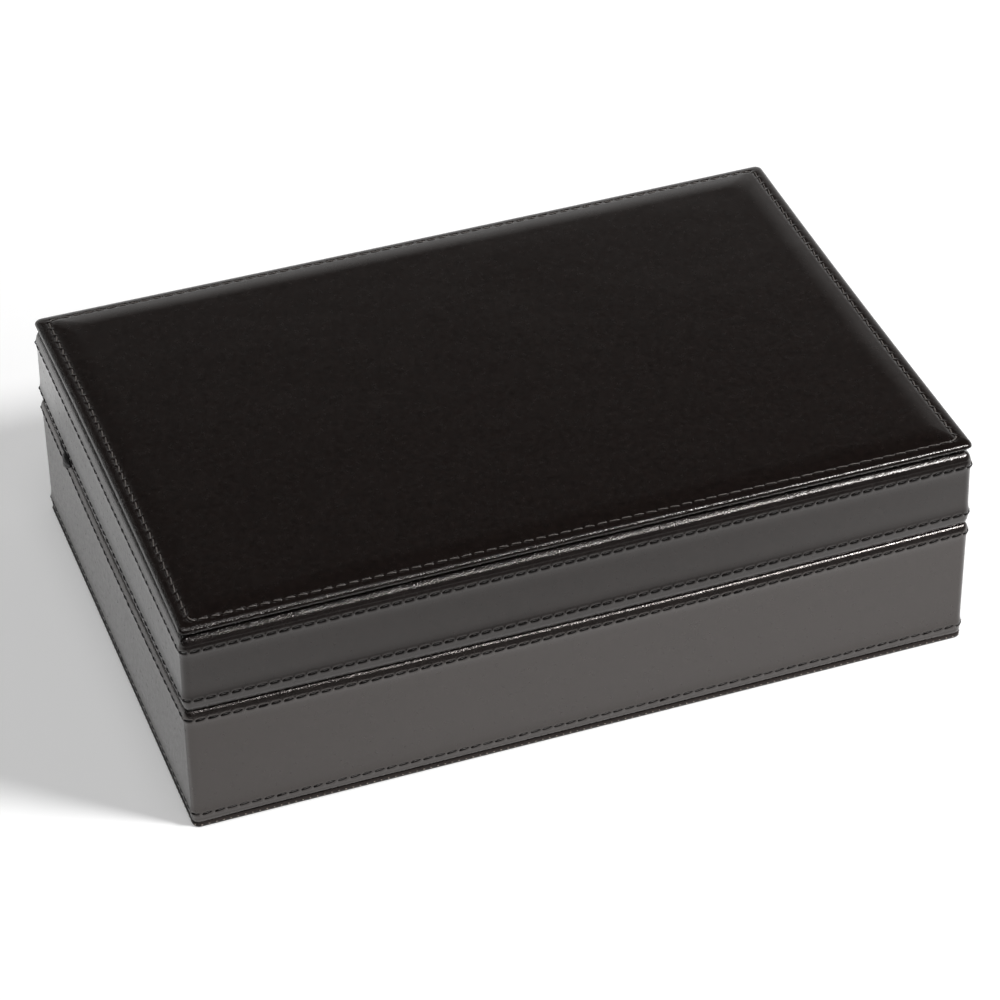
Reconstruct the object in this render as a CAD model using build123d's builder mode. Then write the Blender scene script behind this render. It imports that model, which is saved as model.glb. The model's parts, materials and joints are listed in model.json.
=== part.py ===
from build123d import *
import os

# A leatherette-covered coin display case. The base holds two lift-out trays of square
# compartments. The lid swings on two butt hinges at the rear, is stopped by two ribbon stays
# and carries a padded plate on top.
#
# Millimetres. +X is the right end, +Y the rear (the hinge side), +Z up. The origin is the
# centre of the underside. An inset is a distance inwards from the case's overall outline.

# ---- Driving dimensions: case ----
LENGTH = 240.0  # overall, left to right, over the stitch rows
DEPTH = 160.0  # overall, front to rear, over the stitch rows
BASE_HEIGHT = 42.6  # underside to the base's rim
LID_HEIGHT = 26.2  # the lid's rim to its flat top
SEAM_GAP = 0.4  # between the closed rims
CORNER = 2.5  # radius of the upright corners

BOTTOM_COVER = 1.2  # thickness of the felt panel under the base
BOTTOM_INSET = 1.8
FLOOR_BOARD = 4.0
WALL_BOARD = 5.0
TOP_BOARD = 4.0
COVERING = 1.1  # leatherette thickness
LINING = 1.0  # velvet on card, on the walls
FLOOR_LINING = 0.8

# ---- Driving dimensions: the covering's outline and stitch rows ----
ROW_SWELL = 0.3  # how far the covering stands out along a stitch row
ROW_REACH = 2.4  # height from a row to where the swell has died out
EDGE_TURN = 1.4  # how far the covering turns in at its edges
EDGE_ROLL = 0.8  # height of the tight part of that turn
RIM_ROW = 3.8  # stitch row to the rim beside it
TOP_ROW = 4.5  # stitch row to the lid's top
FOOT_ROW = 2.4  # stitch row to the covering's lower edge
THREAD = 0.6  # width of a stitched line
THREAD_DEPTH = 0.3  # how deep the thread beds into the leatherette
THREAD_FIT = 0.05  # all round the thread in its groove

# ---- Driving dimensions: padded plate on the lid ----
PLATE_INSET = 0.6
PLATE_BOARD = 1.2
PLATE_COVER = 0.9  # leatherette round the plate's edge
PLATE_EDGE = 2.2  # thickness of the plate at its rolled edge
PLATE_CROWN = 1.4  # how far the padding rises above that edge
CHANNEL = 4.0  # stitched channel, inwards from the plate's edge
CHANNEL_DEPTH = 0.45
FOAM_GAP = 0.8  # channel to the foam's edge
# A pad's section as (share of the full rise, multiples of the channel's or foam edge's inset).
PLATE_SHAPE = ((0.1, 1.4), (0.6, 2.2), (0.9, 4.0), (1.0, 7.0))
FOAM_SHAPE = ((0.0, 1.0), (0.2, 1.2), (0.6, 2.0), (0.9, 3.4), (1.0, 6.0))
CORNER_GROWTH = 1 / 3  # a pad's corner radius grows by this share of the inset

# ---- Driving dimensions: lid cushion ----
CUSHION_PLAY = 0.3
CUSHION_EDGE = 3.0  # depth of its upright sides
CUSHION_CROWN = 3.3
CUSHION_SHOULDER = 3.5  # inset where the crown has reached 0.45 of its depth
CUSHION_SLOPE = 11.0  # inset where it has reached 0.8
CUSHION_FLAT = 26.0  # inset where it is full

# ---- Driving dimensions: hinges ----
HINGE_LENGTH = 32.0
HINGE_SPACING = 130.0  # centre to centre
HINGE_OUT = 0.6  # the axis stands this far behind the case's outline
KNUCKLE_RADIUS = 2.1
PIN_RADIUS = 0.9
PIN_HEAD = 0.5
PIN_HEAD_RADIUS = 1.5
PIN_FIT = 0.05  # radial
KNUCKLE_PLAY = 0.2  # between neighbouring knuckles
LEAF = 0.9
LEAF_WIDTH = 7.1
LEAF_PLAY = 0.2  # round a leaf in its recess
LEAF_GAP = 0.1  # between the closed leaves
BARREL_PLAY = 0.35  # round the barrel in the covering
SCREW_RADIUS = 0.8
SCREW_HEAD_RADIUS = 1.7
SCREW_LENGTH = 9.0
SCREW_END_MARGIN = 4.0  # outer screw to the leaf's end
SCREW_FIT = 0.05

# ---- Driving dimensions: magnets, stays ----
MAGNET_RADIUS = 2.0
MAGNET_HEIGHT = 3.0
STRIKE_HEIGHT = 2.0
MAGNET_SPACING = 160.0
MAGNET_FIT = 0.05
STAY_WIDTH = 11.0
STAY_THICKNESS = 0.4
STAY_ARM = 31.1  # hinge axis to the stays' centre line
STAY_PLAY = 0.12  # ribbon to the lining, the covering and the rims
STAY_FOLD_DROP = 5.9  # how far the fold hangs below the seam outside
STAY_BEND = 0.25  # radius of the ribbon's creases
STAY_END_PLAY = 0.6  # ribbon's ends to the base's floor and to the lid's cushion

# ---- Driving dimensions: trays ----
TRAYS = ("lower_tray", "upper_tray")
TRAY_PROUD = 0.4  # the top tray stands this far above the seam, so that it can be gripped
TRAY_PLAY = 1.2  # tray to lining, each side
TRAY_PANEL = 2.0
TRAY_VELVET = 0.7
RAIL = 3.4
SLAT = 2.4
SLAT_DROP = 1.0  # slats end this far below the rails' top
LAP_PLAY = 0.1
COLUMNS = 5
ROWS = 3
PULL_WIDTH = 12.0
PULL_THICKNESS = 0.4
PULL_LENGTH = 9.0  # of the free half of a folded pull
PULL_PLAY = 0.1

# ---- Heights and faces that follow ----
SEAM = BASE_HEIGHT + SEAM_GAP / 2
LID_RIM = BASE_HEIGHT + SEAM_GAP
LID_TOP = LID_RIM + LID_HEIGHT
BASE_BOARD_TOP = BASE_HEIGHT - COVERING
LID_BOARD_BOTTOM = LID_RIM + COVERING
TOP_BOARD_TOP = LID_TOP - COVERING
TOP_BOARD_BOTTOM = TOP_BOARD_TOP - TOP_BOARD
FLOOR_TOP = BOTTOM_COVER + FLOOR_BOARD
INSIDE_FLOOR = FLOOR_TOP + FLOOR_LINING

BOARD_FACE = ROW_SWELL + COVERING  # inset of the boards' outer faces
LINING_FACE = BOARD_FACE + WALL_BOARD  # inset of the boards' inner faces
INSIDE = LINING_FACE + LINING  # inset of the clear space inside
CUSHION_SIDE = TOP_BOARD_BOTTOM - CUSHION_EDGE  # lower edge of the cushion's upright sides

SIDES = ("front", "rear", "left", "right")
ENDS = (("left", -1), ("right", 1))


def save(piece, name):
    """Labels a finished piece and writes it to its own file."""
    piece.label = name
    export_step(piece, f"parts/{name}.step")


def block(inset, bottom, top, corner):
    """An upright block over the case's whole plan, its faces at one inset."""
    with BuildPart() as form:
        with BuildSketch(Plane.XY.offset(bottom)):
            RectangleRounded(LENGTH - 2 * inset, DEPTH - 2 * inset, corner)
        extrude(amount=top - bottom)
    return form.part


def square_block(inset, bottom, top):
    """The same with square corners."""
    with BuildPart() as form:
        with BuildSketch(Plane.XY.offset(bottom)):
            Rectangle(LENGTH - 2 * inset, DEPTH - 2 * inset)
        extrude(amount=top - bottom)
    return form.part


# ---- Coverings ----


def covering_form(bottom, low_row, high_row, top):
    """The covering's outside: it swells at its stitch rows and turns in at both edges."""
    outline = (
        (bottom, EDGE_TURN),
        (bottom + EDGE_ROLL, EDGE_TURN / 2),
        (low_row, 0.0),
        (low_row + ROW_REACH, ROW_SWELL),
        (high_row - ROW_REACH, ROW_SWELL),
        (high_row, 0.0),
        (top - EDGE_ROLL, EDGE_TURN / 2),
        (top, EDGE_TURN),
    )
    with BuildPart() as form:
        for height, inset in outline:
            with BuildSketch(Plane.XY.offset(height)):
                RectangleRounded(LENGTH - 2 * inset, DEPTH - 2 * inset, CORNER - inset)
        loft(ruled=True)
    return form.part


# ---- Stitched lines ----
BASE_ROWS = {"lower": BOTTOM_COVER + FOOT_ROW, "upper": BASE_HEIGHT - RIM_ROW}
LID_ROWS = {"lower": LID_RIM + RIM_ROW, "upper": LID_TOP - TOP_ROW}


def stitched_line(middle, width, outer, inner, corner):
    """A closed ring round the case, between two insets, with the corner radius of the outer one."""
    with BuildPart() as ring:
        with BuildSketch(Plane.XY.offset(middle - width / 2)):
            RectangleRounded(LENGTH - 2 * outer, DEPTH - 2 * outer, corner)
            RectangleRounded(
                LENGTH - 2 * inner, DEPTH - 2 * inner, corner + outer - inner, mode=Mode.SUBTRACT
            )
        extrude(amount=width)
    return ring.part


def wall_thread(row):
    """The thread of one row round the walls."""
    return stitched_line(row, THREAD, 0.0, THREAD_DEPTH, CORNER)


def wall_groove(row):
    """The groove that the thread pulls into the covering."""
    return stitched_line(
        row, THREAD + 2 * THREAD_FIT, -THREAD, THREAD_DEPTH + THREAD_FIT, CORNER + THREAD
    )


# ---- Hinges: values and clearances that the boards and coverings share ----
HINGE_Y = DEPTH / 2 + HINGE_OUT
STAY_Y = HINGE_Y - STAY_ARM
HINGE_XS = (-HINGE_SPACING / 2, HINGE_SPACING / 2)
BARREL_REACH = KNUCKLE_RADIUS + BARREL_PLAY
KNUCKLE_LENGTH = (HINGE_LENGTH - 2 * KNUCKLE_PLAY) / 3
SCREW_Y = DEPTH / 2 - BOARD_FACE - WALL_BOARD / 2
SCREW_PITCH = HINGE_LENGTH / 2 - SCREW_END_MARGIN
SCREW_SPOTS = [(x + dx, SCREW_Y) for x in HINGE_XS for dx in (-SCREW_PITCH, 0, SCREW_PITCH)]
LEAF_FACE = LEAF_GAP / 2  # seam to a leaf's inner face
LEAF_BACK = LEAF_FACE + LEAF  # seam to a leaf's outer face

with BuildPart() as hinge_clearance:
    for x in HINGE_XS:
        with BuildSketch(Plane.YZ.offset(x - HINGE_LENGTH / 2 - PIN_HEAD - LEAF_PLAY)):
            with Locations((HINGE_Y, SEAM)):
                Circle(BARREL_REACH)
        extrude(amount=HINGE_LENGTH + 2 * (PIN_HEAD + LEAF_PLAY))
    with BuildSketch(Plane.XY.offset(SEAM - LEAF_BACK)):
        with Locations(*[(x, HINGE_Y - LEAF_WIDTH / 2) for x in HINGE_XS]):
            Rectangle(HINGE_LENGTH + 2 * LEAF_PLAY, LEAF_WIDTH + 2 * LEAF_PLAY)
    extrude(amount=2 * LEAF_BACK)

with BuildPart() as screw_clearance:
    with BuildSketch(Plane.XY.offset(SEAM - LEAF_FACE - SCREW_LENGTH)):
        with Locations(*SCREW_SPOTS):
            Circle(SCREW_RADIUS + SCREW_FIT)
    extrude(amount=2 * (LEAF_FACE + SCREW_LENGTH))

MAGNET_Y = -DEPTH / 2 + BOARD_FACE + WALL_BOARD / 2
MAGNET_SPOTS = [(-MAGNET_SPACING / 2, MAGNET_Y), (MAGNET_SPACING / 2, MAGNET_Y)]

with BuildPart() as magnet_pockets:
    with BuildSketch(Plane.XY.offset(BASE_BOARD_TOP - STRIKE_HEIGHT)):
        with Locations(*MAGNET_SPOTS):
            Circle(MAGNET_RADIUS + MAGNET_FIT)
    extrude(amount=LID_BOARD_BOTTOM + MAGNET_HEIGHT - BASE_BOARD_TOP + STRIKE_HEIGHT)

# The stays' doubled ribbon beds into both rims where it passes out of the seam.
STAY_BED = STAY_THICKNESS + 1.5 * STAY_PLAY  # seam to the bottom of the bed
with BuildPart() as stay_beds:
    with BuildSketch(Plane.XY.offset(SEAM - STAY_BED)):
        with Locations(*[(sign * LENGTH / 2, STAY_Y) for _, sign in ENDS]):
            Rectangle(2 * (INSIDE + STAY_PLAY), STAY_WIDTH + 2 * STAY_PLAY)
    extrude(amount=2 * STAY_BED)

with BuildPart() as base_leatherette:
    add(covering_form(BOTTOM_COVER, BASE_ROWS["lower"], BASE_ROWS["upper"], BASE_HEIGHT))
    add(
        block(BOARD_FACE, BOTTOM_COVER, BASE_BOARD_TOP, CORNER - BOARD_FACE),
        mode=Mode.SUBTRACT,
    )
    add(square_block(INSIDE, BOTTOM_COVER, BASE_HEIGHT), mode=Mode.SUBTRACT)
    add(hinge_clearance.part, mode=Mode.SUBTRACT)
    add(screw_clearance.part, mode=Mode.SUBTRACT)
    add(stay_beds.part, mode=Mode.SUBTRACT)
    for row in BASE_ROWS.values():
        add(wall_groove(row), mode=Mode.SUBTRACT)

with BuildPart() as lid_leatherette:
    add(covering_form(LID_RIM, LID_ROWS["lower"], LID_ROWS["upper"], LID_TOP))
    add(
        block(BOARD_FACE, LID_BOARD_BOTTOM, TOP_BOARD_TOP, CORNER - BOARD_FACE),
        mode=Mode.SUBTRACT,
    )
    add(square_block(INSIDE, LID_RIM, LID_BOARD_BOTTOM), mode=Mode.SUBTRACT)
    add(hinge_clearance.part, mode=Mode.SUBTRACT)
    add(screw_clearance.part, mode=Mode.SUBTRACT)
    add(stay_beds.part, mode=Mode.SUBTRACT)
    for row in LID_ROWS.values():
        add(wall_groove(row), mode=Mode.SUBTRACT)

# ---- Boards ----


def wall_board(side, bottom, top):
    """A wall board. Front and rear run the full length, and the end boards fit between them."""
    length = LENGTH - 2 * BOARD_FACE
    depth = DEPTH - 2 * BOARD_FACE
    sign = -1 if side in ("front", "left") else 1
    with BuildPart() as board:
        with BuildSketch(Plane.XY.offset(bottom)):
            if side in ("front", "rear"):
                with Locations((0, sign * (depth - WALL_BOARD) / 2)):
                    Rectangle(length, WALL_BOARD)
            else:
                with Locations((sign * (length - WALL_BOARD) / 2, 0)):
                    Rectangle(WALL_BOARD, depth - 2 * WALL_BOARD)
        extrude(amount=top - bottom)
        if side in ("front", "rear"):
            uprights = board.edges().filter_by(Axis.Z).group_by(Axis.Y)
            fillet(uprights[0 if side == "front" else -1], CORNER - BOARD_FACE)
        if side == "front":
            add(magnet_pockets.part, mode=Mode.SUBTRACT)
        if side == "rear":
            add(hinge_clearance.part, mode=Mode.SUBTRACT)
            add(screw_clearance.part, mode=Mode.SUBTRACT)
    return board.part


with BuildPart() as base_bottom_cover:
    add(block(BOTTOM_INSET, 0, BOTTOM_COVER, CORNER - BOARD_FACE))

with BuildPart() as base_floor_board:
    add(square_block(LINING_FACE, BOTTOM_COVER, FLOOR_TOP))

with BuildPart() as lid_top_board:
    add(block(BOARD_FACE, TOP_BOARD_BOTTOM, TOP_BOARD_TOP, CORNER - BOARD_FACE))

# ---- Linings ----

with BuildPart() as base_floor_lining:
    add(square_block(LINING_FACE, FLOOR_TOP, INSIDE_FLOOR))


def wall_lining(side, bottom, top):
    """A velvet-covered card panel. The end panels fit between the front and rear ones."""
    length = LENGTH - 2 * LINING_FACE
    depth = DEPTH - 2 * LINING_FACE
    sign = -1 if side in ("front", "left") else 1
    with BuildPart() as panel:
        with BuildSketch(Plane.XY.offset(bottom)):
            if side in ("front", "rear"):
                with Locations((0, sign * (depth - LINING) / 2)):
                    Rectangle(length, LINING)
            else:
                with Locations((sign * (length - LINING) / 2, 0)):
                    Rectangle(LINING, depth - 2 * LINING)
        extrude(amount=top - bottom)
    return panel.part


# ---- Padded forms ----


def padded_form(outline, length, depth, corner):
    """A crowned pad: rounded rectangles at each height and inset, with fuller corners inwards."""
    with BuildPart() as form:
        for height, inset in outline:
            with BuildSketch(Plane.XY.offset(height)):
                RectangleRounded(
                    length - 2 * inset, depth - 2 * inset, corner + inset * CORNER_GROWTH
                )
        loft(ruled=True)
    return form.part


PLATE_LENGTH = LENGTH - 2 * PLATE_INSET
PLATE_DEPTH = DEPTH - 2 * PLATE_INSET
PLATE_RIM = LID_TOP + PLATE_EDGE
PLATE_TOP = PLATE_RIM + PLATE_CROWN
BOARD_LEVEL = LID_TOP + PLATE_BOARD
FOAM_EDGE = CHANNEL + FOAM_GAP
FOAM_TOP = PLATE_TOP - PLATE_COVER

plate_rolled_edge = (
    (LID_TOP, PLATE_COVER / 2),
    (LID_TOP + PLATE_EDGE / 4, 0.0),
    (PLATE_RIM - PLATE_EDGE / 3, 0.0),
    (PLATE_RIM, PLATE_COVER),
    (PLATE_RIM, CHANNEL / 2),
    (PLATE_RIM - CHANNEL_DEPTH, CHANNEL),
)
plate_crown = tuple(
    (PLATE_RIM + share * PLATE_CROWN, inwards * CHANNEL) for share, inwards in PLATE_SHAPE
)
plate_outside = padded_form(plate_rolled_edge + plate_crown, PLATE_LENGTH, PLATE_DEPTH, CORNER)

with BuildPart() as top_plate_board:
    with BuildSketch(Plane.XY.offset(LID_TOP)):
        RectangleRounded(
            PLATE_LENGTH - 2 * PLATE_COVER,
            PLATE_DEPTH - 2 * PLATE_COVER,
            CORNER - PLATE_COVER,
        )
    extrude(amount=PLATE_BOARD)

foam_outline = tuple(
    (BOARD_LEVEL + share * (FOAM_TOP - BOARD_LEVEL), inwards * FOAM_EDGE)
    for share, inwards in FOAM_SHAPE
)
with BuildPart() as top_plate_foam:
    add(padded_form(foam_outline, PLATE_LENGTH, PLATE_DEPTH, CORNER))

with BuildPart() as top_plate_leatherette:
    add(plate_outside)
    add(top_plate_board.part, mode=Mode.SUBTRACT)
    add(top_plate_foam.part, mode=Mode.SUBTRACT)

# The plate's thread lies across the channel, on its two slopes.
CHANNEL_LINE = PLATE_INSET + CHANNEL
top_plate_stitching = stitched_line(
    PLATE_RIM - CHANNEL_DEPTH + THREAD_DEPTH,
    THREAD_DEPTH,
    CHANNEL_LINE - THREAD / 2,
    CHANNEL_LINE + THREAD / 2,
    CORNER + CHANNEL * CORNER_GROWTH + THREAD / 2,
)

with BuildPart() as lid_cushion:
    add(
        padded_form(
            (
                (TOP_BOARD_BOTTOM, 0.0),
                (CUSHION_SIDE, 0.0),
                (CUSHION_SIDE - CUSHION_CROWN * 0.45, CUSHION_SHOULDER),
                (CUSHION_SIDE - CUSHION_CROWN * 0.8, CUSHION_SLOPE),
                (CUSHION_SIDE - CUSHION_CROWN, CUSHION_FLAT),
            ),
            LENGTH - 2 * (INSIDE + CUSHION_PLAY),
            DEPTH - 2 * (INSIDE + CUSHION_PLAY),
            CORNER,
        )
    )

# ---- Hinge hardware ----
KNUCKLE_STEP = KNUCKLE_LENGTH + KNUCKLE_PLAY


def hinge_leaves(side, own_knuckles, other_knuckles):
    """Both leaves on one side of the seam (-1 below, 1 above), with their knuckles."""
    leaf_bottom = SEAM + (LEAF_FACE if side > 0 else -LEAF_BACK)
    notch = KNUCKLE_LENGTH + 2 * KNUCKLE_PLAY
    with BuildPart() as leaves:
        for x in HINGE_XS:
            with BuildSketch(Plane.XY.offset(leaf_bottom)):
                with Locations((x, HINGE_Y - LEAF_WIDTH / 2)):
                    Rectangle(HINGE_LENGTH, LEAF_WIDTH)
                with Locations(*[(x + k * KNUCKLE_STEP, HINGE_Y) for k in other_knuckles]):
                    Rectangle(notch, 2 * BARREL_REACH, mode=Mode.SUBTRACT)
            extrude(amount=LEAF)
            for k in own_knuckles:
                start = x + k * KNUCKLE_STEP - KNUCKLE_LENGTH / 2
                with BuildSketch(Plane.YZ.offset(start)):
                    with Locations((HINGE_Y, SEAM)):
                        Circle(KNUCKLE_RADIUS)
                extrude(amount=KNUCKLE_LENGTH)
            with BuildSketch(Plane.YZ.offset(x - HINGE_LENGTH / 2)):
                with Locations((HINGE_Y, SEAM)):
                    Circle(PIN_RADIUS + PIN_FIT)
            extrude(amount=HINGE_LENGTH, mode=Mode.SUBTRACT)
        facing = Plane.XY.offset(SEAM + side * LEAF_FACE)
        if side > 0:
            facing = Plane(origin=facing.origin, x_dir=(1, 0, 0), z_dir=(0, 0, -1))
        with Locations(facing):
            with Locations(*[(x, -side * y) for x, y in SCREW_SPOTS]):
                CounterSinkHole(SCREW_RADIUS + SCREW_FIT, SCREW_HEAD_RADIUS + SCREW_FIT, LEAF)
    return leaves.part


def hinge_screws(side):
    """The six countersunk screws of one side's leaves, heads towards the seam."""
    head_height = SCREW_HEAD_RADIUS - SCREW_RADIUS
    with BuildPart() as screw:
        with BuildSketch(Plane.XZ):
            with BuildLine():
                Polyline(
                    (0, 0),
                    (SCREW_HEAD_RADIUS, 0),
                    (SCREW_RADIUS, -head_height),
                    (SCREW_RADIUS, SCREW_RADIUS - SCREW_LENGTH),
                    (0, -SCREW_LENGTH),
                    close=True,
                )
            make_face()
        revolve(axis=Axis.Z)
    turned = screw.part if side < 0 else screw.part.rotate(Axis.X, 180)
    with BuildPart() as screws:
        with Locations(*[(x, y, SEAM + side * LEAF_FACE) for x, y in SCREW_SPOTS]):
            add(turned)
    return screws.part


with BuildPart() as hinge_pins:
    for x in HINGE_XS:
        end = x - HINGE_LENGTH / 2
        for start, length, radius in (
            (end - PIN_HEAD, PIN_HEAD, PIN_HEAD_RADIUS),
            (end, HINGE_LENGTH, PIN_RADIUS),
            (end + HINGE_LENGTH, PIN_HEAD, PIN_HEAD_RADIUS),
        ):
            with BuildSketch(Plane.YZ.offset(start)):
                with Locations((HINGE_Y, SEAM)):
                    Circle(radius)
            extrude(amount=length)

# ---- Hidden closure ----
with BuildPart() as lid_magnets:
    with BuildSketch(Plane.XY.offset(LID_BOARD_BOTTOM)):
        with Locations(*MAGNET_SPOTS):
            Circle(MAGNET_RADIUS)
    extrude(amount=MAGNET_HEIGHT)

with BuildPart() as base_strike_discs:
    with BuildSketch(Plane.XY.offset(BASE_BOARD_TOP - STRIKE_HEIGHT)):
        with Locations(*MAGNET_SPOTS):
            Circle(MAGNET_RADIUS)
    extrude(amount=STRIKE_HEIGHT)

# ---- Ribbon stays ----
RIBBON_CENTRE = STAY_PLAY + STAY_THICKNESS / 2  # a face to the middle of the ribbon on it


def lid_stay(side):
    """A stay: up the base's lining, out through the seam in a hanging fold, and up the lid's."""
    lining_x = LENGTH / 2 - INSIDE - RIBBON_CENTRE
    inner_x = LENGTH / 2 + RIBBON_CENTRE
    outer_x = inner_x + STAY_THICKNESS + STAY_PLAY
    lower_run = SEAM - (STAY_THICKNESS + STAY_PLAY) / 2
    upper_run = SEAM + (STAY_THICKNESS + STAY_PLAY) / 2
    route = (
        (lining_x, INSIDE_FLOOR + STAY_END_PLAY),
        (lining_x, lower_run),
        (inner_x, lower_run),
        (inner_x, SEAM - STAY_FOLD_DROP),
        (outer_x, SEAM - STAY_FOLD_DROP),
        (outer_x, upper_run),
        (lining_x, upper_run),
        (lining_x, CUSHION_SIDE - STAY_END_PLAY),
    )
    with BuildPart() as stay:
        with BuildSketch(Plane.XZ.offset(-STAY_Y)):
            with BuildLine():
                FilletPolyline(*[(side * x, z) for x, z in route], radius=STAY_BEND)
            trace(line_width=STAY_THICKNESS)
        extrude(amount=STAY_WIDTH / 2, both=True)
    return stay.part


# ---- Trays ----
TRAY_HEIGHT = (SEAM + TRAY_PROUD - INSIDE_FLOOR) / len(TRAYS)
TRAY_LENGTH = LENGTH - 2 * (INSIDE + TRAY_PLAY)
TRAY_DEPTH = DEPTH - 2 * (INSIDE + TRAY_PLAY)
INNER_LENGTH = TRAY_LENGTH - 2 * RAIL
INNER_DEPTH = TRAY_DEPTH - 2 * RAIL
CELL_X = (INNER_LENGTH - (COLUMNS - 1) * SLAT) / COLUMNS
CELL_Y = (INNER_DEPTH - (ROWS - 1) * SLAT) / ROWS
CROSS_XS = [-INNER_LENGTH / 2 + (i + 1) * (CELL_X + SLAT) - SLAT / 2 for i in range(COLUMNS - 1)]
LONG_YS = [-INNER_DEPTH / 2 + (i + 1) * (CELL_Y + SLAT) - SLAT / 2 for i in range(ROWS - 1)]
SLAT_HEIGHT = TRAY_HEIGHT - TRAY_PANEL - TRAY_VELVET - SLAT_DROP


def make_tray(name, bottom):
    """Writes one tray: a panel with rails round it and half-lapped slats on a velvet floor."""
    rails_bottom = bottom + TRAY_PANEL
    floor = rails_bottom + TRAY_VELVET
    top = bottom + TRAY_HEIGHT
    rail_height = top - rails_bottom
    half_lap = SLAT_HEIGHT / 2

    with BuildPart() as panel:
        with BuildSketch(Plane.XY.offset(bottom)):
            Rectangle(TRAY_LENGTH, TRAY_DEPTH)
        extrude(amount=TRAY_PANEL)
    save(panel.part, f"{name}_panel")

    with BuildPart() as velvet:
        with BuildSketch(Plane.XY.offset(rails_bottom)):
            Rectangle(INNER_LENGTH, INNER_DEPTH)
        extrude(amount=TRAY_VELVET)
    save(velvet.part, f"{name}_velvet_floor")

    for side, sign in (("front", -1), ("rear", 1)):
        with BuildPart() as long_rail:
            with BuildSketch(Plane.XY.offset(rails_bottom)):
                with Locations((0, sign * (TRAY_DEPTH - RAIL) / 2)):
                    Rectangle(TRAY_LENGTH, RAIL)
            extrude(amount=rail_height)
        save(long_rail.part, f"{name}_{side}_rail")

    with BuildPart() as end_rails:
        with BuildSketch(Plane.XY.offset(rails_bottom)):
            with Locations(*[(sign * (TRAY_LENGTH - RAIL) / 2, 0) for _, sign in ENDS]):
                Rectangle(RAIL, INNER_DEPTH)
        extrude(amount=rail_height)
    save(end_rails.part, f"{name}_end_rails")

    with BuildPart() as long_slats:
        with BuildSketch(Plane.XY.offset(floor)):
            with Locations(*[(0, y) for y in LONG_YS]):
                Rectangle(INNER_LENGTH, SLAT)
        extrude(amount=SLAT_HEIGHT)
        with BuildSketch(Plane.XY.offset(floor + half_lap)):
            with Locations(*[(x, y) for x in CROSS_XS for y in LONG_YS]):
                Rectangle(SLAT + 2 * LAP_PLAY, SLAT)
        extrude(amount=half_lap, mode=Mode.SUBTRACT)
    save(long_slats.part, f"{name}_long_slats")

    with BuildPart() as cross_slats:
        with BuildSketch(Plane.XY.offset(floor)):
            with Locations(*[(x, 0) for x in CROSS_XS]):
                Rectangle(SLAT, INNER_DEPTH)
        extrude(amount=SLAT_HEIGHT)
        with BuildSketch(Plane.XY.offset(floor)):
            with Locations(*[(x, y) for x in CROSS_XS for y in LONG_YS]):
                Rectangle(SLAT, SLAT + 2 * LAP_PLAY)
        extrude(amount=half_lap, mode=Mode.SUBTRACT)
    save(cross_slats.part, f"{name}_cross_slats")

    glued_x = INNER_LENGTH / 2 - PULL_PLAY - PULL_THICKNESS / 2
    free_x = glued_x - PULL_THICKNESS - 2 * PULL_PLAY
    fold = top - PULL_THICKNESS / 2 - PULL_PLAY
    with BuildPart() as pulls:
        with BuildSketch(Plane.XZ):
            for _, sign in ENDS:
                with BuildLine():
                    Polyline(
                        (sign * glued_x, floor + PULL_PLAY),
                        (sign * glued_x, fold),
                        (sign * free_x, fold),
                        (sign * free_x, fold - PULL_LENGTH),
                    )
                trace(line_width=PULL_THICKNESS)
        extrude(amount=PULL_WIDTH / 2, both=True)
    save(pulls.part, f"{name}_pull_ribbons")


# ---- Write every piece ----
os.makedirs("parts", exist_ok=True)

save(base_bottom_cover.part, "base_bottom_cover")
save(base_floor_board.part, "base_floor_board")
save(base_floor_lining.part, "base_floor_lining")
save(base_leatherette.part, "base_leatherette")
save(lid_leatherette.part, "lid_leatherette")
save(lid_top_board.part, "lid_top_board")
save(lid_cushion.part, "lid_cushion")
for side in SIDES:
    save(wall_board(side, BOTTOM_COVER, BASE_BOARD_TOP), f"base_{side}_board")
    save(wall_board(side, LID_BOARD_BOTTOM, TOP_BOARD_BOTTOM), f"lid_{side}_board")
    save(wall_lining(side, INSIDE_FLOOR, BASE_BOARD_TOP), f"base_{side}_lining")
    save(wall_lining(side, LID_BOARD_BOTTOM, TOP_BOARD_BOTTOM), f"lid_{side}_lining")

for row_name, row in BASE_ROWS.items():
    save(wall_thread(row), f"base_{row_name}_stitching")
for row_name, row in LID_ROWS.items():
    save(wall_thread(row), f"lid_{row_name}_stitching")
save(top_plate_stitching, "top_plate_stitching")

save(top_plate_board.part, "top_plate_board")
save(top_plate_foam.part, "top_plate_foam")
save(top_plate_leatherette.part, "top_plate_leatherette")

save(hinge_leaves(-1, (-1, 1), (0,)), "base_hinge_leaves")
save(hinge_leaves(1, (0,), (-1, 1)), "lid_hinge_leaves")
save(hinge_pins.part, "hinge_pins")
save(hinge_screws(-1), "base_hinge_screws")
save(hinge_screws(1), "lid_hinge_screws")
save(lid_magnets.part, "lid_magnets")
save(base_strike_discs.part, "base_strike_discs")

for end_name, end_sign in ENDS:
    save(lid_stay(end_sign), f"{end_name}_lid_stay")

for level, tray_name in enumerate(TRAYS):
    make_tray(tray_name, INSIDE_FLOOR + level * TRAY_HEIGHT)
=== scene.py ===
import json
import math

import bmesh
import bpy
import numpy as np
from mathutils import Matrix, Vector, noise

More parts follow.
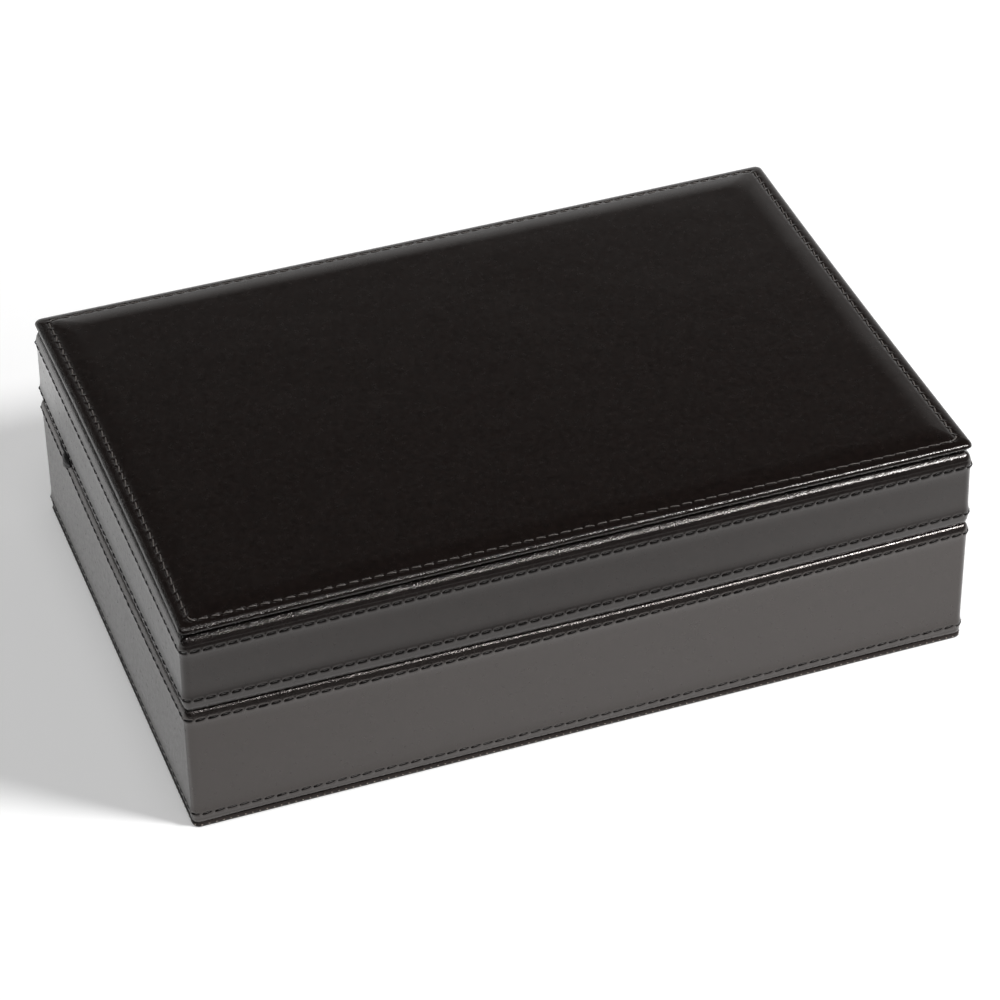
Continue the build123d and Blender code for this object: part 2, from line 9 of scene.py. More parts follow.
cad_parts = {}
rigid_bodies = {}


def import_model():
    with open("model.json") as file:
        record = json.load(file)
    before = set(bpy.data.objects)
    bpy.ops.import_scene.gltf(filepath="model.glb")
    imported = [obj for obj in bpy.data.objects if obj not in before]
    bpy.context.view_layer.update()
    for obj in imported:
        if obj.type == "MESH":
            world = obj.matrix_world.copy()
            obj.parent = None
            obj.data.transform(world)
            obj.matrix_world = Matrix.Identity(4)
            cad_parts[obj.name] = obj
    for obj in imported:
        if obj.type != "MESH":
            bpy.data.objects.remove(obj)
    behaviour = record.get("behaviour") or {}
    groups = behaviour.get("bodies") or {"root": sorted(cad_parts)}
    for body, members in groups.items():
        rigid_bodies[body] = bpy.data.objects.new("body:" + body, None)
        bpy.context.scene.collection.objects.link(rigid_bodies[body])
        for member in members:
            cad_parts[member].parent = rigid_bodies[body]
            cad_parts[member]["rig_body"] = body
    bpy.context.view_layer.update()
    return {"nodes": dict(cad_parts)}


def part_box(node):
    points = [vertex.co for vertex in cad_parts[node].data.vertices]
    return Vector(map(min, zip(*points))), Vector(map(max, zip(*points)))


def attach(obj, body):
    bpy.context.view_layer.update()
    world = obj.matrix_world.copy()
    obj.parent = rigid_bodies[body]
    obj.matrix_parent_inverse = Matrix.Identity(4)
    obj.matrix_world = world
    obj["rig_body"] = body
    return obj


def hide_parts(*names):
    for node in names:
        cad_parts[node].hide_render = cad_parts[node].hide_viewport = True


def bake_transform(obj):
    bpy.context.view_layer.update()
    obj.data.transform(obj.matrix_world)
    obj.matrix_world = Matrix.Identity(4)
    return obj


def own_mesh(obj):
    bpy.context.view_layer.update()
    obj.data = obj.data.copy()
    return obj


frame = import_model()

bl_info = {
    "name": "Coin Display Case",
    "version": (1, 0, 0),
    "blender": (4, 5, 0),
    "location": "3D View > Sidebar > Display Case",
    "description": "Dresses a leatherette coin display case round its packed frame",
    "category": "Object",
}

# Lengths are in metres. An inset is a distance inwards from the case's overall outline, which
# is the outer face of its stitched rows. +X is the right end, +Y the rear, +Z up.
MM = 0.001


# ---- Sizes read off the frame ----


def low(node, axis):
    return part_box(node)[0]["xyz".index(axis)]


def high(node, axis):
    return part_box(node)[1]["xyz".index(axis)]


def middle(node, axis):
    return (low(node, axis) + high(node, axis)) / 2


def span(node, axis):
    return high(node, axis) - low(node, axis)


LENGTH = span("base_upper_stitching", "x")
DEPTH = span("base_upper_stitching", "y")
BASE_RIM = high("base_leatherette", "z")
LID_RIM = low("lid_leatherette", "z")
LID_TOP = high("lid_leatherette", "z") + 0.2 * MM  # the photo shows the lid this much fuller
SEAM = (BASE_RIM + LID_RIM) / 2
HINGE = Vector((0, middle("hinge_pins", "y"), middle("hinge_pins", "z")))
BOARD_FACE = LENGTH / 2 - high("base_right_board", "x")
INSIDE = LENGTH / 2 - low("base_right_lining", "x")
BOARD_TOP = high("base_front_board", "z")
LID_BOARD_BOTTOM = low("lid_front_board", "z")
TOP_BOARD_TOP = high("lid_top_board", "z")
PLATE_LENGTH = span("top_plate_leatherette", "x")
PLATE_DEPTH = span("top_plate_leatherette", "y")
PLATE_TOP = high("top_plate_leatherette", "z") + 0.35 * MM  # its crown, likewise
PLATE_BOARD_INSET = high("top_plate_leatherette", "x") - high("top_plate_board", "x")
PLATE_BOARD_TOP = high("top_plate_board", "z")
PLATE_ROW = high("top_plate_leatherette", "x") - high("top_plate_stitching", "x")

# ---- Shapes that the frame's plain solids leave out ----
CORNER = 2.5 * MM  # radius of the upright corners
SWELL = 0.3 * MM  # the covering stands out this far along a row
SWELL_REACH = 1.5 * MM
ROW_REACH = 2.6 * MM  # the stitches shape the covering this far to either side of their row
SEAM_SLIT = 0.12 * MM  # what shows of the gap between the base and the lid
FOOT_RISE = 1.5 * MM  # the covering ends this far up, on the felt panel
FELT_INSET = 0.25 * MM
LID_LEAN = 0.35 * MM  # the lid's walls lean in this much by their top
TOP_BOARD_ROUND = 1.9 * MM  # keeps the board's edge inside the lid's round shoulder
PLATE_CORNER = 2.0 * MM
PLATE_END_ROW = 0.7 * MM  # the row runs this much further in along the ends
PLATE_EDGE = 3.0 * MM  # height of the plate's rolled edge
PLATE_BORDER = 0.12 * MM  # the plate rises this much from its edge to its row
PLATE_TILT = 0.13  # slope of the band that is sewn, down towards the edge
PLATE_BAND = 0.9 * MM  # half that band's width
PLATE_FOOT = 1.9 * MM  # inset of the line where the plate meets the lid
SKIN = 0.9 * MM  # leatherette over the plate's foam
SMALLEST = 0.02 * MM  # least radius of an inset corner
STAY_THICKNESS = 0.36 * MM
CUSHION_FRAMES = 20  # of the cloth simulation that plumps the lid's cushion
# Gloss of the embossed film and weight of its lacquer: the base has been rubbed glossiest
FINISH = {"base": (0.8, 0.08), "lid": (0.4, 0.42), "plate": (0.3, 0.5)}

# ---- The studio, in metres ----
CAMERA_PLACE = (-0.30528, -0.87422, 0.74774)  # fitted to the photo's edges, as its angles are
AIM = (0, 0, 0.03)  # the case's middle, where the lights point
WHITE = (1, 1, 1, 1)


def linear(hex_colour):
    """An sRGB hex colour as linear red, green and blue."""
    channels = [int(hex_colour[i : i + 2], 16) / 255 for i in (1, 3, 5)]
    return tuple(c / 12.92 if c <= 0.04045 else ((c + 0.055) / 1.055) ** 2.4 for c in channels)


def number_property(name, description, default, **kind):
    return bpy.props.FloatProperty(name=name, description=description, default=default, **kind)


def length_property(name, description, millimetres):
    return number_property(name, description, millimetres * MM, unit="LENGTH")


def colour_property(name, description, hex_colour):
    return bpy.props.FloatVectorProperty(
        name=name, description=description, default=linear(hex_colour), subtype="COLOR"
    )


def angle_property(name, description, degrees):
    return number_property(name, description, math.radians(degrees), subtype="ANGLE")


class StitchSizes(bpy.types.PropertyGroup):
    pitch: length_property("Pitch", "From one needle hole to the next", 3.67)
    thread: length_property("Thread", "Thickness of the sewing thread", 0.38)
    gap: length_property("Gap", "Leatherette that shows between two stitches", 0.55)
    rise: length_property("Rise", "How far a stitch stands out of its row", 0.12)
    slant: length_property("Slant", "Each stitch crosses its row by this much", 0.42)
    groove: length_property("Groove", "Depth that the thread pulls the covering in", 0.2)


class CaseColours(bpy.types.PropertyGroup):
    leatherette: colour_property("Leatherette", "The covering", "#171312")
    thread: colour_property("Thread", "The stitching", "#0d0b0a")
    # Paler than the walls' thread: this colour is a painted glint on the plate's stitches, besides
    # their real gloss
    plate_thread_glint_tone: colour_property("Plate thread", "The plate's waxed stitching", "#45403d")
    velvet: colour_property("Velvet", "Trays and linings", "#5a1420")
    satin: colour_property("Satin", "The lid's cushion", "#d9ceb8")
    felt: colour_property("Felt", "The panel under the base", "#241c19")
    ribbon: colour_property("Ribbon", "Stays and pulls", "#0b0a0a")
    fibreboard: colour_property("Fibreboard", "Raw boards", "#a98a63")
    floor: colour_property("Floor", "The surface that the case stands on", "#e6e6e6")


class CaseShapes(bpy.types.PropertyGroup):
    edge_round: length_property("Velvet edge", "Radius of a velvet-wrapped edge", 0.55)
    cushion_plump: number_property("Cushion pressure", "Air that plumps the lid's cushion", 4.0)
    grain: length_property("Grain", "Size of one pebble of the leatherette's grain", 0.55)


class StageSettings(bpy.types.PropertyGroup):
    lens: number_property("Lens", "Focal length on a 36 mm sensor", 139.366)
    azimuth: angle_property("Azimuth", "Camera's turn to the left of the front", 19.355)
    elevation: angle_property("Elevation", "Camera's height above the horizon", 37.894)
    roll: angle_property("Roll", "Camera's tilt", -0.948)
    key: number_property("Key", "Power of the soft light at the right front", 14.5)
    fill: number_property("Fill", "Power of the overhead softbox", 4.6)


# ---- Mesh helpers ----


class Outline:
    """A rounded rectangle that coverings and rows of stitches run round, anticlockwise."""

    def __init__(self, length, depth, corner, radius_at):
        self.half = np.array([length / 2, depth / 2])
        self.corner = corner
        self.radius_at = radius_at  # the corner radius at an inset
        runs = 2 * (self.half - corner)
        arc = corner * math.pi / 2
        self.parts = [runs[0], arc, runs[1], arc] * 2
        self.starts = np.concatenate([[0], np.cumsum(self.parts)])

    @property
    def total(self):
        return self.starts[-1]

    def corner_starts(self):
        return self.starts[1:8:2]

    def points(self, along, inset):
        """Plan points at a distance along the outline and an inset."""
        along, inset = np.broadcast_arrays(np.mod(along, self.total), inset)
        radius = np.maximum(self.radius_at(inset), SMALLEST)
        place = np.zeros(along.shape + (2,))
        for k, run in enumerate(np.array([(1, 0), (0, 1), (-1, 0), (0, -1)], float)):
            out = np.array([run[1], -run[0]])
            half_run, half_out = self.half if k % 2 == 0 else self.half[::-1]
            start, bend, end = self.starts[2 * k : 2 * k + 3]
            on_side = (along >= start) & (along < bend)
            on_corner = (along >= bend) & (along < end)
            share = (along - start) / (half_run - self.corner) - 1
            reach = (half_run - inset - radius) * share
            spot = reach[..., None] * run + (half_out - inset)[..., None] * out
            place[on_side] = spot[on_side]
            angle = (along - bend) / self.corner
            facing = np.cos(angle)[..., None] * out + np.sin(angle)[..., None] * run
            centre = (half_run - inset - radius)[..., None] * run
            centre = centre + (half_out - inset - radius)[..., None] * out
            place[on_corner] = (centre + radius[..., None] * facing)[on_corner]
        return place


def placed(name, data):
    """A new object in the scene."""
    thing = bpy.data.objects.new(name, data)
    bpy.context.scene.collection.objects.link(thing)
    return thing


def new_piece(name, points, faces, material, sharp=40, pucker=None):
    """A smooth-shaded mesh object with sharp edges kept. pucker is how creased each point is."""
    mesh = bpy.data.meshes.new(name)
    mesh.from_pydata([tuple(p) for p in points], [], faces)
    if pucker is not None:
        layer = mesh.attributes.new("pucker", "FLOAT", "POINT")
        layer.data.foreach_set("value", np.asarray(pucker, np.float32).ravel())
    mesh.materials.append(material)
    mesh.shade_smooth()
    mesh.set_sharp_from_angle(angle=math.radians(sharp))
    return placed(name, mesh)


def from_form(form, name, material=None, sharp=None):
    """A mesh object with a bmesh's shape, which is freed."""
    mesh = bpy.data.meshes.new(name)
    form.to_mesh(mesh)
    form.free()
    if material:
        mesh.materials.append(material)
        mesh.shade_smooth()
    if sharp:
        mesh.set_sharp_from_angle(angle=math.radians(sharp))
    return placed(name, mesh)


def box(form, centre, size):
    """Adds a box to a bmesh."""
    matrix = Matrix.Translation(centre) @ Matrix.Diagonal((*size, 1))
    bmesh.ops.create_cube(form, size=1, matrix=matrix)


def ring_faces(sections, per_section, closed_profile):
    """Quads between the sections of a ring, and between the ends of a closed profile."""
    i = np.arange(sections)[:, None]
    j = np.arange(per_section if closed_profile else per_section - 1)[None, :]
    i_next, j_next = (i + 1) % sections, (j + 1) % per_section
    quads = np.stack(
        [
            i * per_section + j,
            i_next * per_section + j,
            i_next * per_section + j_next,
            i * per_section + j_next,
        ],
        axis=-1,
    )
    return quads.reshape(-1, 4).tolist()


def sweep(outline, along, profile, push, closed_profile):
    """Points and faces of a profile of (inset, height) carried round an outline.

    push is how far each point stands out of the profile, along the profile's own normal."""
    inset, height = profile[:, 0], profile[:, 1]
    if closed_profile:
        step = np.roll(profile, -1, axis=0) - np.roll(profile, 1, axis=0)
    else:
        step = np.gradient(profile, axis=0)
    normal = np.stack([step[:, 1], step[:, 0]], axis=1)
    normal /= np.maximum(np.linalg.norm(normal, axis=1, keepdims=True), 1e-12)
    insets = inset[None, :] - push * normal[None, :, 0]
    heights = height[None, :] + push * normal[None, :, 1]
    plan = outline.points(along[:, None], insets)
    points = np.concatenate([plan, heights[..., None]], axis=-1)
    faces = ring_faces(len(along), len(profile), closed_profile)
    if not closed_profile:
        count = len(profile)
        faces.append([i * count + count - 1 for i in range(len(along))])
        faces.append([i * count for i in reversed(range(len(along)))])
    return points.reshape(-1, 3), faces


def stations(outline, stitches, per_stitch):
    """Distances along an outline at which a covering has a section."""
    places = list(np.arange(stitches * per_stitch) * outline.total / (stitches * per_stitch))
    for start in outline.corner_starts():
        places += list(start + np.linspace(0, 1, 9) * outline.corner * math.pi / 2)
    places = np.unique(np.mod(np.array(places), outline.total))
    keep = np.concatenate([[True], np.diff(places) > 0.05 * MM])
    return places[keep]


def stitch_count(outline, pitch):
    return round(outline.total / pitch)


def row_push(outline, along, across, outer, stitches, groove):
    """How far a row of stitches makes each profile point stand out at each section: a groove under
    each stitch and a ridge at each hole. across is the points' distance from the row."""
    near = outer & (np.abs(across) < ROW_REACH)
    angle = 2 * math.pi * (along[:, None] / outline.total * stitches)
    hole = np.exp(-((1 - np.cos(angle)) / 0.2))  # 1 at a needle hole, 0 along a stitch
    trough = -groove * np.exp(-((across[None, near] / (0.36 * MM)) ** 2))
    beside = (np.abs(across[None, near]) - 1.0 * MM) / (0.5 * MM)
    pillow = 0.2 * groove * np.exp(-(beside**2))
    ridge = 2.4 * groove * np.exp(-((across[None, near] / (0.42 * MM)) ** 2))
    push = np.zeros((len(along), len(across)))
    push[:, near] = trough + pillow * (1 - 0.6 * hole) + ridge * hole
    return push


def tube_faces(first, rings, sides):
    """Quads round a tube of rings of points, numbered from first."""
    faces = []
    for ring in range(first, first + (rings - 1) * sides, sides):
        for m in range(sides):
            a, b = ring + m, ring + (m + 1) % sides
            faces.append((a, b, b + sides, a + sides))
    return faces


def stitches_round(
    name, outline, inset, seat, stitches, sizes, material, bend, up=False, weight=1.0
):
    """A row of separate stitches. It faces outwards at one height, or upwards where up is true."""
    sides, steps = 8, 10
    thickness = sizes.thread * weight
    share = np.linspace(0, 1, steps + 1)
    pitch = outline.total / stitches
    jitter = np.random.default_rng(stitches + int(1000 * seat)).normal(0, 1, (stitches, 4))
    first = np.arange(stitches) * pitch + sizes.gap / 2 + 0.07 * MM * jitter[:, 2]
    along = first[:, None] + share[None, :] * (pitch - sizes.gap + 0.1 * MM * jitter[:, 3:])
    bow = np.sin(math.pi * share) ** 0.42
    rise = sizes.rise * weight - 0.75 * thickness * (1 - bow)
    slant = sizes.slant + 0.13 * MM * jitter[:, :1]
    cross = (share - 0.5)[None, :] * slant + 0.05 * MM * jitter[:, 1:2]
    radius = thickness / 2 * (0.62 + 0.38 * bow)
    angle = np.arange(sides) * 2 * math.pi / sides
    out = rise[None, :, None] + radius[None, :, None] * np.cos(angle)
    side = cross[:, :, None] + radius[None, :, None] * np.sin(angle)
    out, side = np.broadcast_arrays(out, side)
    if up:
        out, side = side, out
    plan = outline.points(along[:, :, None], inset - out)
    points = bend(np.concatenate([plan, (seat + side)[..., None]], axis=-1)).reshape(-1, 3)
    faces = []
    for start in range(0, len(points), (steps + 1) * sides):
        faces += tube_faces(start, steps + 1, sides)
        faces.append([start + m for m in range(sides)])
        faces.append([start + steps * sides + m for m in reversed(range(sides))])
    if not up:
        faces = [tuple(reversed(face)) for face in faces]
    return new_piece(name, points, faces, material, sharp=70)


def curve_of(points, count):
    """A smooth line through a list of (inset, height) points, evenly spaced."""
    points = np.array(points, float)
    padded = np.vstack([2 * points[0] - points[1], points, 2 * points[-1] - points[-2]])
    line = []
    for i in range(1, len(padded) - 2):
        p0, p1, p2, p3 = padded[i - 1 : i + 3]
        square, cube = 2 * p0 - 5 * p1 + 4 * p2 - p3, 3 * p1 - p0 - 3 * p2 + p3
        for t in np.linspace(0, 1, 12, endpoint=False):
            line.append(0.5 * ((2 * p1) + (p2 - p0) * t + square * t**2 + cube * t**3))
    line = np.array(line + [points[-1]])
    run = np.concatenate([[0], np.cumsum(np.linalg.norm(np.diff(line, axis=0), axis=1))])
    even = np.linspace(0, run[-1], count)
    return np.stack([np.interp(even, run, line[:, k]) for k in (0, 1)], axis=1)


def marks(height, *points):
    """Profile points in metres from (inset, rise above a height) in millimetres."""
    return [(inset * MM, height + rise * MM) for inset, rise in points]


def ride_and_replace(piece, body, slot, *nodes):
    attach(piece, body)
    if nodes:
        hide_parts(*nodes)
    return piece


# ---- Materials ----


def add(tree, kind, inputs=(), stops=(), **settings):
    """Adds a shader node with its settings and links. The inputs go to its first sockets in order,
    or by name. Each is a value, another node's output, or a node whose first output is taken. The
    stops are a colour ramp's positions and linear colours."""
    node = tree.nodes.new(f"ShaderNode{kind}")
    for name, value in settings.items():
        setattr(node, name, value)
    for name, value in inputs.items() if isinstance(inputs, dict) else enumerate(inputs):
        if isinstance(value, bpy.types.Node):
            value = value.outputs[0]
        if isinstance(value, bpy.types.NodeSocket):
            tree.links.new(value, node.inputs[name])
        else:
            node.inputs[name].default_value = value
    if stops:
        elements = node.color_ramp.elements
        while len(elements) < len(stops):
            elements.new(0.5)
        for element, (position, colour) in zip(elements, stops):
            element.position = position
            element.color = (*colour, 1)
    return node


def empty_tree(owner):
    owner.use_nodes = True
    owner.node_tree.nodes.clear()
    return owner.node_tree


def new_material(name):
    """A material without nodes, its node tree, and the object's own coordinates in metres."""
    material = bpy.data.materials.new(name)
    tree = empty_tree(material)
    return material, tree, add(tree, "TexCoord").outputs["Object"]


def shaded(material, inputs):
    """Ends a material's nodes with one Principled shader, constants on the shader's own sockets."""
    shader = add(material.node_tree, "BsdfPrincipled", inputs)
    add(material.node_tree, "OutputMaterial", {"Surface": shader})
    return material


def tones(colour, *stops):
    """Colour ramp stops from (position, factor): one colour, darkened and lightened."""
    return [(position, tuple(c * factor for c in colour)) for position, factor in stops]


def patterned(name, kind, size, pattern, stops, relief, constants, output=0, **settings):
    """A material whose one pattern gives both its tone and its relief. kind is the pattern's node,
    size the length of one repeat, and relief the strength and depth of the bump."""
    material, tree, place = new_material(name)
    pattern = add(tree, kind, {"Vector": place, "Scale": 1 / size, **pattern}, **settings)
    pattern = pattern.outputs[output]
    inputs = {**constants, "Base Color": add(tree, "ValToRGB", (pattern,), stops)}
    if relief:
        bump = {"Strength": relief[0], "Distance": relief[1], "Height": pattern}
        inputs["Normal"] = add(tree, "Bump", bump)
    return shaded(material, inputs)


def leatherette(part):
    """Polyurethane leatherette, embossed and lacquered: near-black brown, with a fine pebble. Where
    it is folded or sewn it creases, which breaks its gloss into sparkles."""
    scene = bpy.context.scene
    colour = tuple(scene.case_colours.leatherette)
    if part == "plate":  # painted shade: the plate's copy of the leatherette is darker and browner, so the top reads dark
        colour = tuple(c * share for c, share in zip(colour, (0.55, 0.44, 0.4)))
    gloss, lacquer = FINISH[part]
    material, tree, place = new_material(f"polyurethane_leatherette_{part}")
    grain = scene.case_shapes.grain
    patterns = []
    for size, detail in ((2.2 * MM, 4), (1.6 * MM, 3), (grain, 2), (24 * MM, 2), (0.38 * MM, 1)):
        inputs = {"Vector": place, "Scale": 1 / size, "Detail": detail}
        patterns.append(add(tree, "TexNoise", inputs))
    mottle, fine, pebbles, slack, creases = patterns
    pucker = add(tree, "Attribute", attribute_name="pucker").outputs["Fac"]
    depth = add(tree, "MapRange", (pucker, 0.0, 1.0, 0.0, 0.18 * MM))
    under = {}
    for height, distance in ((pebbles, 0.0025 * MM), (slack, 0.12 * MM), (creases, depth)):
        bump = {"Strength": 1.0, "Distance": distance, "Height": height, **under}
        under = {"Normal": add(tree, "Bump", bump)}
    inputs = {
        "IOR": 1.5,
        "Specular IOR Level": gloss,
        "Specular Tint": (1.0, 0.92, 0.88, 1),
        "Coat Weight": lacquer,
        "Coat Roughness": 0.11,
        "Coat IOR": 1.5,
        "Base Color": add(tree, "ValToRGB", (mottle,), tones(colour, (0.3, 0.7), (0.7, 1.3))),
        "Roughness": add(tree, "MapRange", (fine, 0.3, 0.7, 0.2, 0.28)),
        "Normal": under["Normal"],
        "Coat Normal": under["Normal"],
    }
    return shaded(material, inputs)


def thread(colour, finish, gloss):
    """Bonded polyester sewing thread, twisted: dark, and with a glint on each ply where waxed."""
    return patterned(
        f"polyester_thread_{finish}",
        "TexNoise",
        0.25 * MM,
        {"Detail": 1.0},
        tones(colour, (0.35, 0.7), (0.7, 1.6)),
        (1.0, 0.05 * MM),
        {"IOR": 1.5, "Roughness": 0.75 - 0.6 * gloss, "Specular IOR Level": gloss},
    )


def pale_thread():
    """Waxed cotton thread: pale, with darker fibres."""
    return patterned(
        "cotton_thread_waxed",
        "TexNoise",
        0.3 * MM,
        {"Detail": 2.0},
        [(0.3, linear("#7d7266")), (0.7, linear("#b5aba0"))],
        None,
        {"IOR": 1.45, "Roughness": 0.6},
    )


def velvet(colour):
    """Cotton velvet, cut pile: deep colour, a light sheen at grazing angles, brushed patches."""
    material, tree, place = new_material("cotton_velvet_cut_pile")
    inputs = {"Vector": place, "Scale": 1 / (22 * MM), "Detail": 3.0}
    brushed = add(tree, "TexNoise", inputs)
    inputs = {"Vector": place, "Scale": 1 / (0.35 * MM), "Detail": 2.0}
    pile = add(tree, "TexNoise", inputs)
    tone = add(tree, "ValToRGB", (brushed,), tones(colour, (0.35, 0.7), (0.65, 1.15)))
    speck = add(tree, "MapRange", (pile, 0.3, 0.7, 0.75, 1.2))
    bump = {"Strength": 0.8, "Distance": 0.12 * MM, "Height": pile}
    inputs = {
        "IOR": 1.4,
        "Roughness": 0.95,
        "Sheen Weight": 0.5,
        "Sheen Roughness": 0.35,
        "Sheen Tint": (*linear("#c9606f"), 1),
        "Base Color": add(tree, "MixRGB", (1.0, tone, speck), blend_type="MULTIPLY"),
        "Normal": add(tree, "Bump", bump),
    }
    return shaded(material, inputs)


def satin(colour):
    """Polyester satin, woven with long floats: smooth, with a soft directional gloss."""
    material, tree, place = new_material("polyester_satin_woven")
    inputs = {"Vector": place, "Scale": 1 / (1.9 * MM), "Distortion": 1.5, "Detail": 2.0}
    floats = add(tree, "TexWave", inputs, bands_direction="Y").outputs[1]
    inputs = {"Vector": place, "Scale": 1 / (9 * MM), "Detail": 3.0}
    slub = add(tree, "TexNoise", inputs)
    bump = {"Strength": 0.5, "Distance": 0.03 * MM, "Height": floats}
    inputs = {
        "IOR": 1.5,
        "Roughness": 0.36,
        "Sheen Weight": 0.3,
        "Anisotropic": 0.5,
        "Base Color": add(tree, "ValToRGB", (slub,), tones(colour, (0.3, 0.95), (0.7, 1.03))),
        "Normal": add(tree, "Bump", bump),
    }
    return shaded(material, inputs)


def felt(colour):
    """Flocked felt paper, pressed: matt and slightly mottled, with short fibres."""
    return patterned(
        "viscose_felt_flocked",
        "TexNoise",
        0.5 * MM,
        {"Detail": 4.0},
        tones(colour, (0.3, 0.6), (0.7, 1.4)),
        (1.0, 0.2 * MM),
        {"IOR": 1.4, "Roughness": 1.0, "Sheen Weight": 0.3},
    )


def ribbon(colour):
    """Grosgrain ribbon, woven: fine ribs across its width and a dull silk gloss."""
    return patterned(
        "polyester_grosgrain_woven",
        "TexWave",
        3.6 * MM,
        {"Distortion": 0.6},
        tones(colour, (0.0, 0.6), (1.0, 1.6)),
        (1.0, 0.08 * MM),
        {"IOR": 1.5, "Roughness": 0.55, "Sheen Weight": 0.3},
        output=1,
        bands_direction="Z",
    )


def board(colour, name):
    """Fibreboard, pressed and sawn: warm, matt, with short fibres and darker flecks."""
    return patterned(
        name,
        "TexNoise",
        1.2 * MM,
        {"Detail": 5.0, "Roughness": 0.7},
        tones(colour, (0.3, 0.7), (0.5, 1.0), (0.75, 1.2)),
        (0.5, 0.1 * MM),
        {"IOR": 1.45, "Roughness": 0.85},
    )


def foam_cells():
    """Polyurethane foam, cut: open pale cells."""
    return patterned(
        "polyurethane_foam_cut",
        "TexVoronoi",
        0.8 * MM,
        {},
        [(0.1, linear("#8f8a78")), (0.6, linear("#e2dcc6"))],
        (1.0, 0.3 * MM),
        {"IOR": 1.4, "Roughness": 1.0},
    )


def metal(name, hex_colour, roughness, brush):
    """A plated or solid metal, rolled and tumbled: soft reflections with fine rolling lines."""
    material, tree, place = new_material(name)
    lines = add(tree, "Mapping", {"Vector": place, "Scale": (0.08, 1.0, 1.0)})
    brushed = add(tree, "TexNoise", {"Vector": lines, "Scale": 1 / brush, "Detail": 4.0})
    stops = tones(linear(hex_colour), (0.3, 0.85), (0.7, 1.0))
    rough = (brushed, 0.3, 0.7, roughness - 0.08, roughness + 0.1)
    bump = {"Strength": 0.2, "Distance": 0.004 * MM, "Height": brushed}
    inputs = {
        "Metallic": 1.0,
        "Base Color": add(tree, "ValToRGB", (brushed,), stops),
        "Roughness": add(tree, "MapRange", rough),
        "Normal": add(tree, "Bump", bump),
    }
    return shaded(material, inputs)


# ---- The coverings ----
CASE = Outline(LENGTH, DEPTH, CORNER, lambda inset: CORNER - inset)
PLATE_SEWN = PLATE_ROW - 0.55 * MM  # inset of the plate's stitches
PLATE = Outline(PLATE_LENGTH, PLATE_DEPTH, PLATE_CORNER, lambda inset: crown_corner(inset))
# The photo's rows run this far above the frame's plain rings
BASE_ROWS = [
    middle("base_lower_stitching", "z") + 1.4 * MM,
    middle("base_upper_stitching", "z") + 1.2 * MM,
]
LID_ROWS = [
    middle("lid_lower_stitching", "z") + 0.4 * MM,
    middle("lid_upper_stitching", "z") - 0.3 * MM,
]
# Heights of the profile's points round a row, in millimetres
ROW_STEPS = [-1.9, -1.3, -0.9, -0.6, -0.35, -0.15, 0, 0.15, 0.35, 0.6, 0.9, 1.3, 1.9]
ROW_STEPS = np.array(ROW_STEPS) * MM


def crown_corner(inset):
    """The padding rounds off the crown's corners inside the row of stitches."""
    grown = PLATE_CORNER + 0.5 * np.clip(inset - PLATE_SEWN - 0.5 * MM, 0, 20 * MM)
    return np.minimum(grown, PLATE_DEPTH / 2 - inset - MM)


def nearness(points, axis, half):
    """1 outside a wall's board, falling to 0 at its inner face."""
    depth_in = half - np.abs(points[..., axis])
    return np.clip((INSIDE - depth_in) / (INSIDE - BOARD_FACE), 0, 1)


def bowed(points):
    """Bows the front wall outwards at mid-length, most at the base's rim, and the end walls half
    as much. The rear wall stays straight for its hinges."""
    points = np.array(points, float)
    heights = [0, *BASE_ROWS, SEAM, *LID_ROWS]
    bow = np.interp(points[..., 2], heights, np.array([0.1, 0.25, 1.5, 1.3, 1.0, 0.0]) * MM)
    share_x = np.clip(1 - (points[..., 0] / (LENGTH / 2)) ** 2, 0, 1)
    share_y = np.clip(1 - (points[..., 1] / (DEPTH / 2)) ** 2, 0, 1)
    near_front = nearness(points, 1, DEPTH / 2) * (points[..., 1] < 0)
    near_end = nearness(points, 0, LENGTH / 2)
    points[..., 0] += 0.5 * bow * share_y * near_end * np.sign(points[..., 0])
    points[..., 1] -= bow * share_x * near_front
    return points


def drawn_in(points):
    """Draws the plate's edges in slightly at mid-length, as the sewing does, and shifts the row
    inwards along the ends."""
    points = np.array(points, float)
    inset = (PLATE_LENGTH / 2 - np.abs(points[..., 0])) / MM
    push = PLATE_END_ROW * np.interp(inset, [1.6, 3.4, 8.0, 30.0], [0.0, 1.0, 1.0, 0.0])
    points[..., 0] -= push * np.sign(points[..., 0])
    sides = (0, PLATE_LENGTH / 2, PLATE_DEPTH / 2, 0.6), (1, PLATE_DEPTH / 2, PLATE_LENGTH / 2, 0.4)
    for axis, half, other, pull in sides:
        place = points[..., axis]
        share = np.clip(1 - (points[..., 1 - axis] / other) ** 2, 0, 1)
        near = np.clip(1 - (half - np.abs(place)) / (25 * MM), 0, 1)
        points[..., axis] = place - pull * MM * share * near * np.sign(place)
    return points


def wall_inset(height, rows):
    """The wall's inset at a height: it swells at each row."""
    swell = max(math.exp(-(((height - row) / SWELL_REACH) ** 2)) for row in rows)
    return SWELL * (1 - swell)


def wall_profile(rows, bottom, top):
    """(inset, height) up a wall, closely spaced at its two rows."""
    between = np.linspace(rows[0] + 3.5 * MM, rows[1] - 3.5 * MM, 7)
    heights = [*(rows[0] + ROW_STEPS), *between, *(rows[1] + ROW_STEPS)]
    return [(wall_inset(z, rows), z) for z in heights if bottom < z < top]


def lip(rim, turned):
    """A rim's flat and its turn into the wall's inner face, down (-1) or up (1)."""
    return [
        (3.5 * MM, rim),
        (INSIDE - 0.3 * MM, rim),
        (INSIDE - 0.05 * MM, rim + turned * 0.15 * MM),
        (INSIDE, rim + turned * 0.4 * MM),
    ]


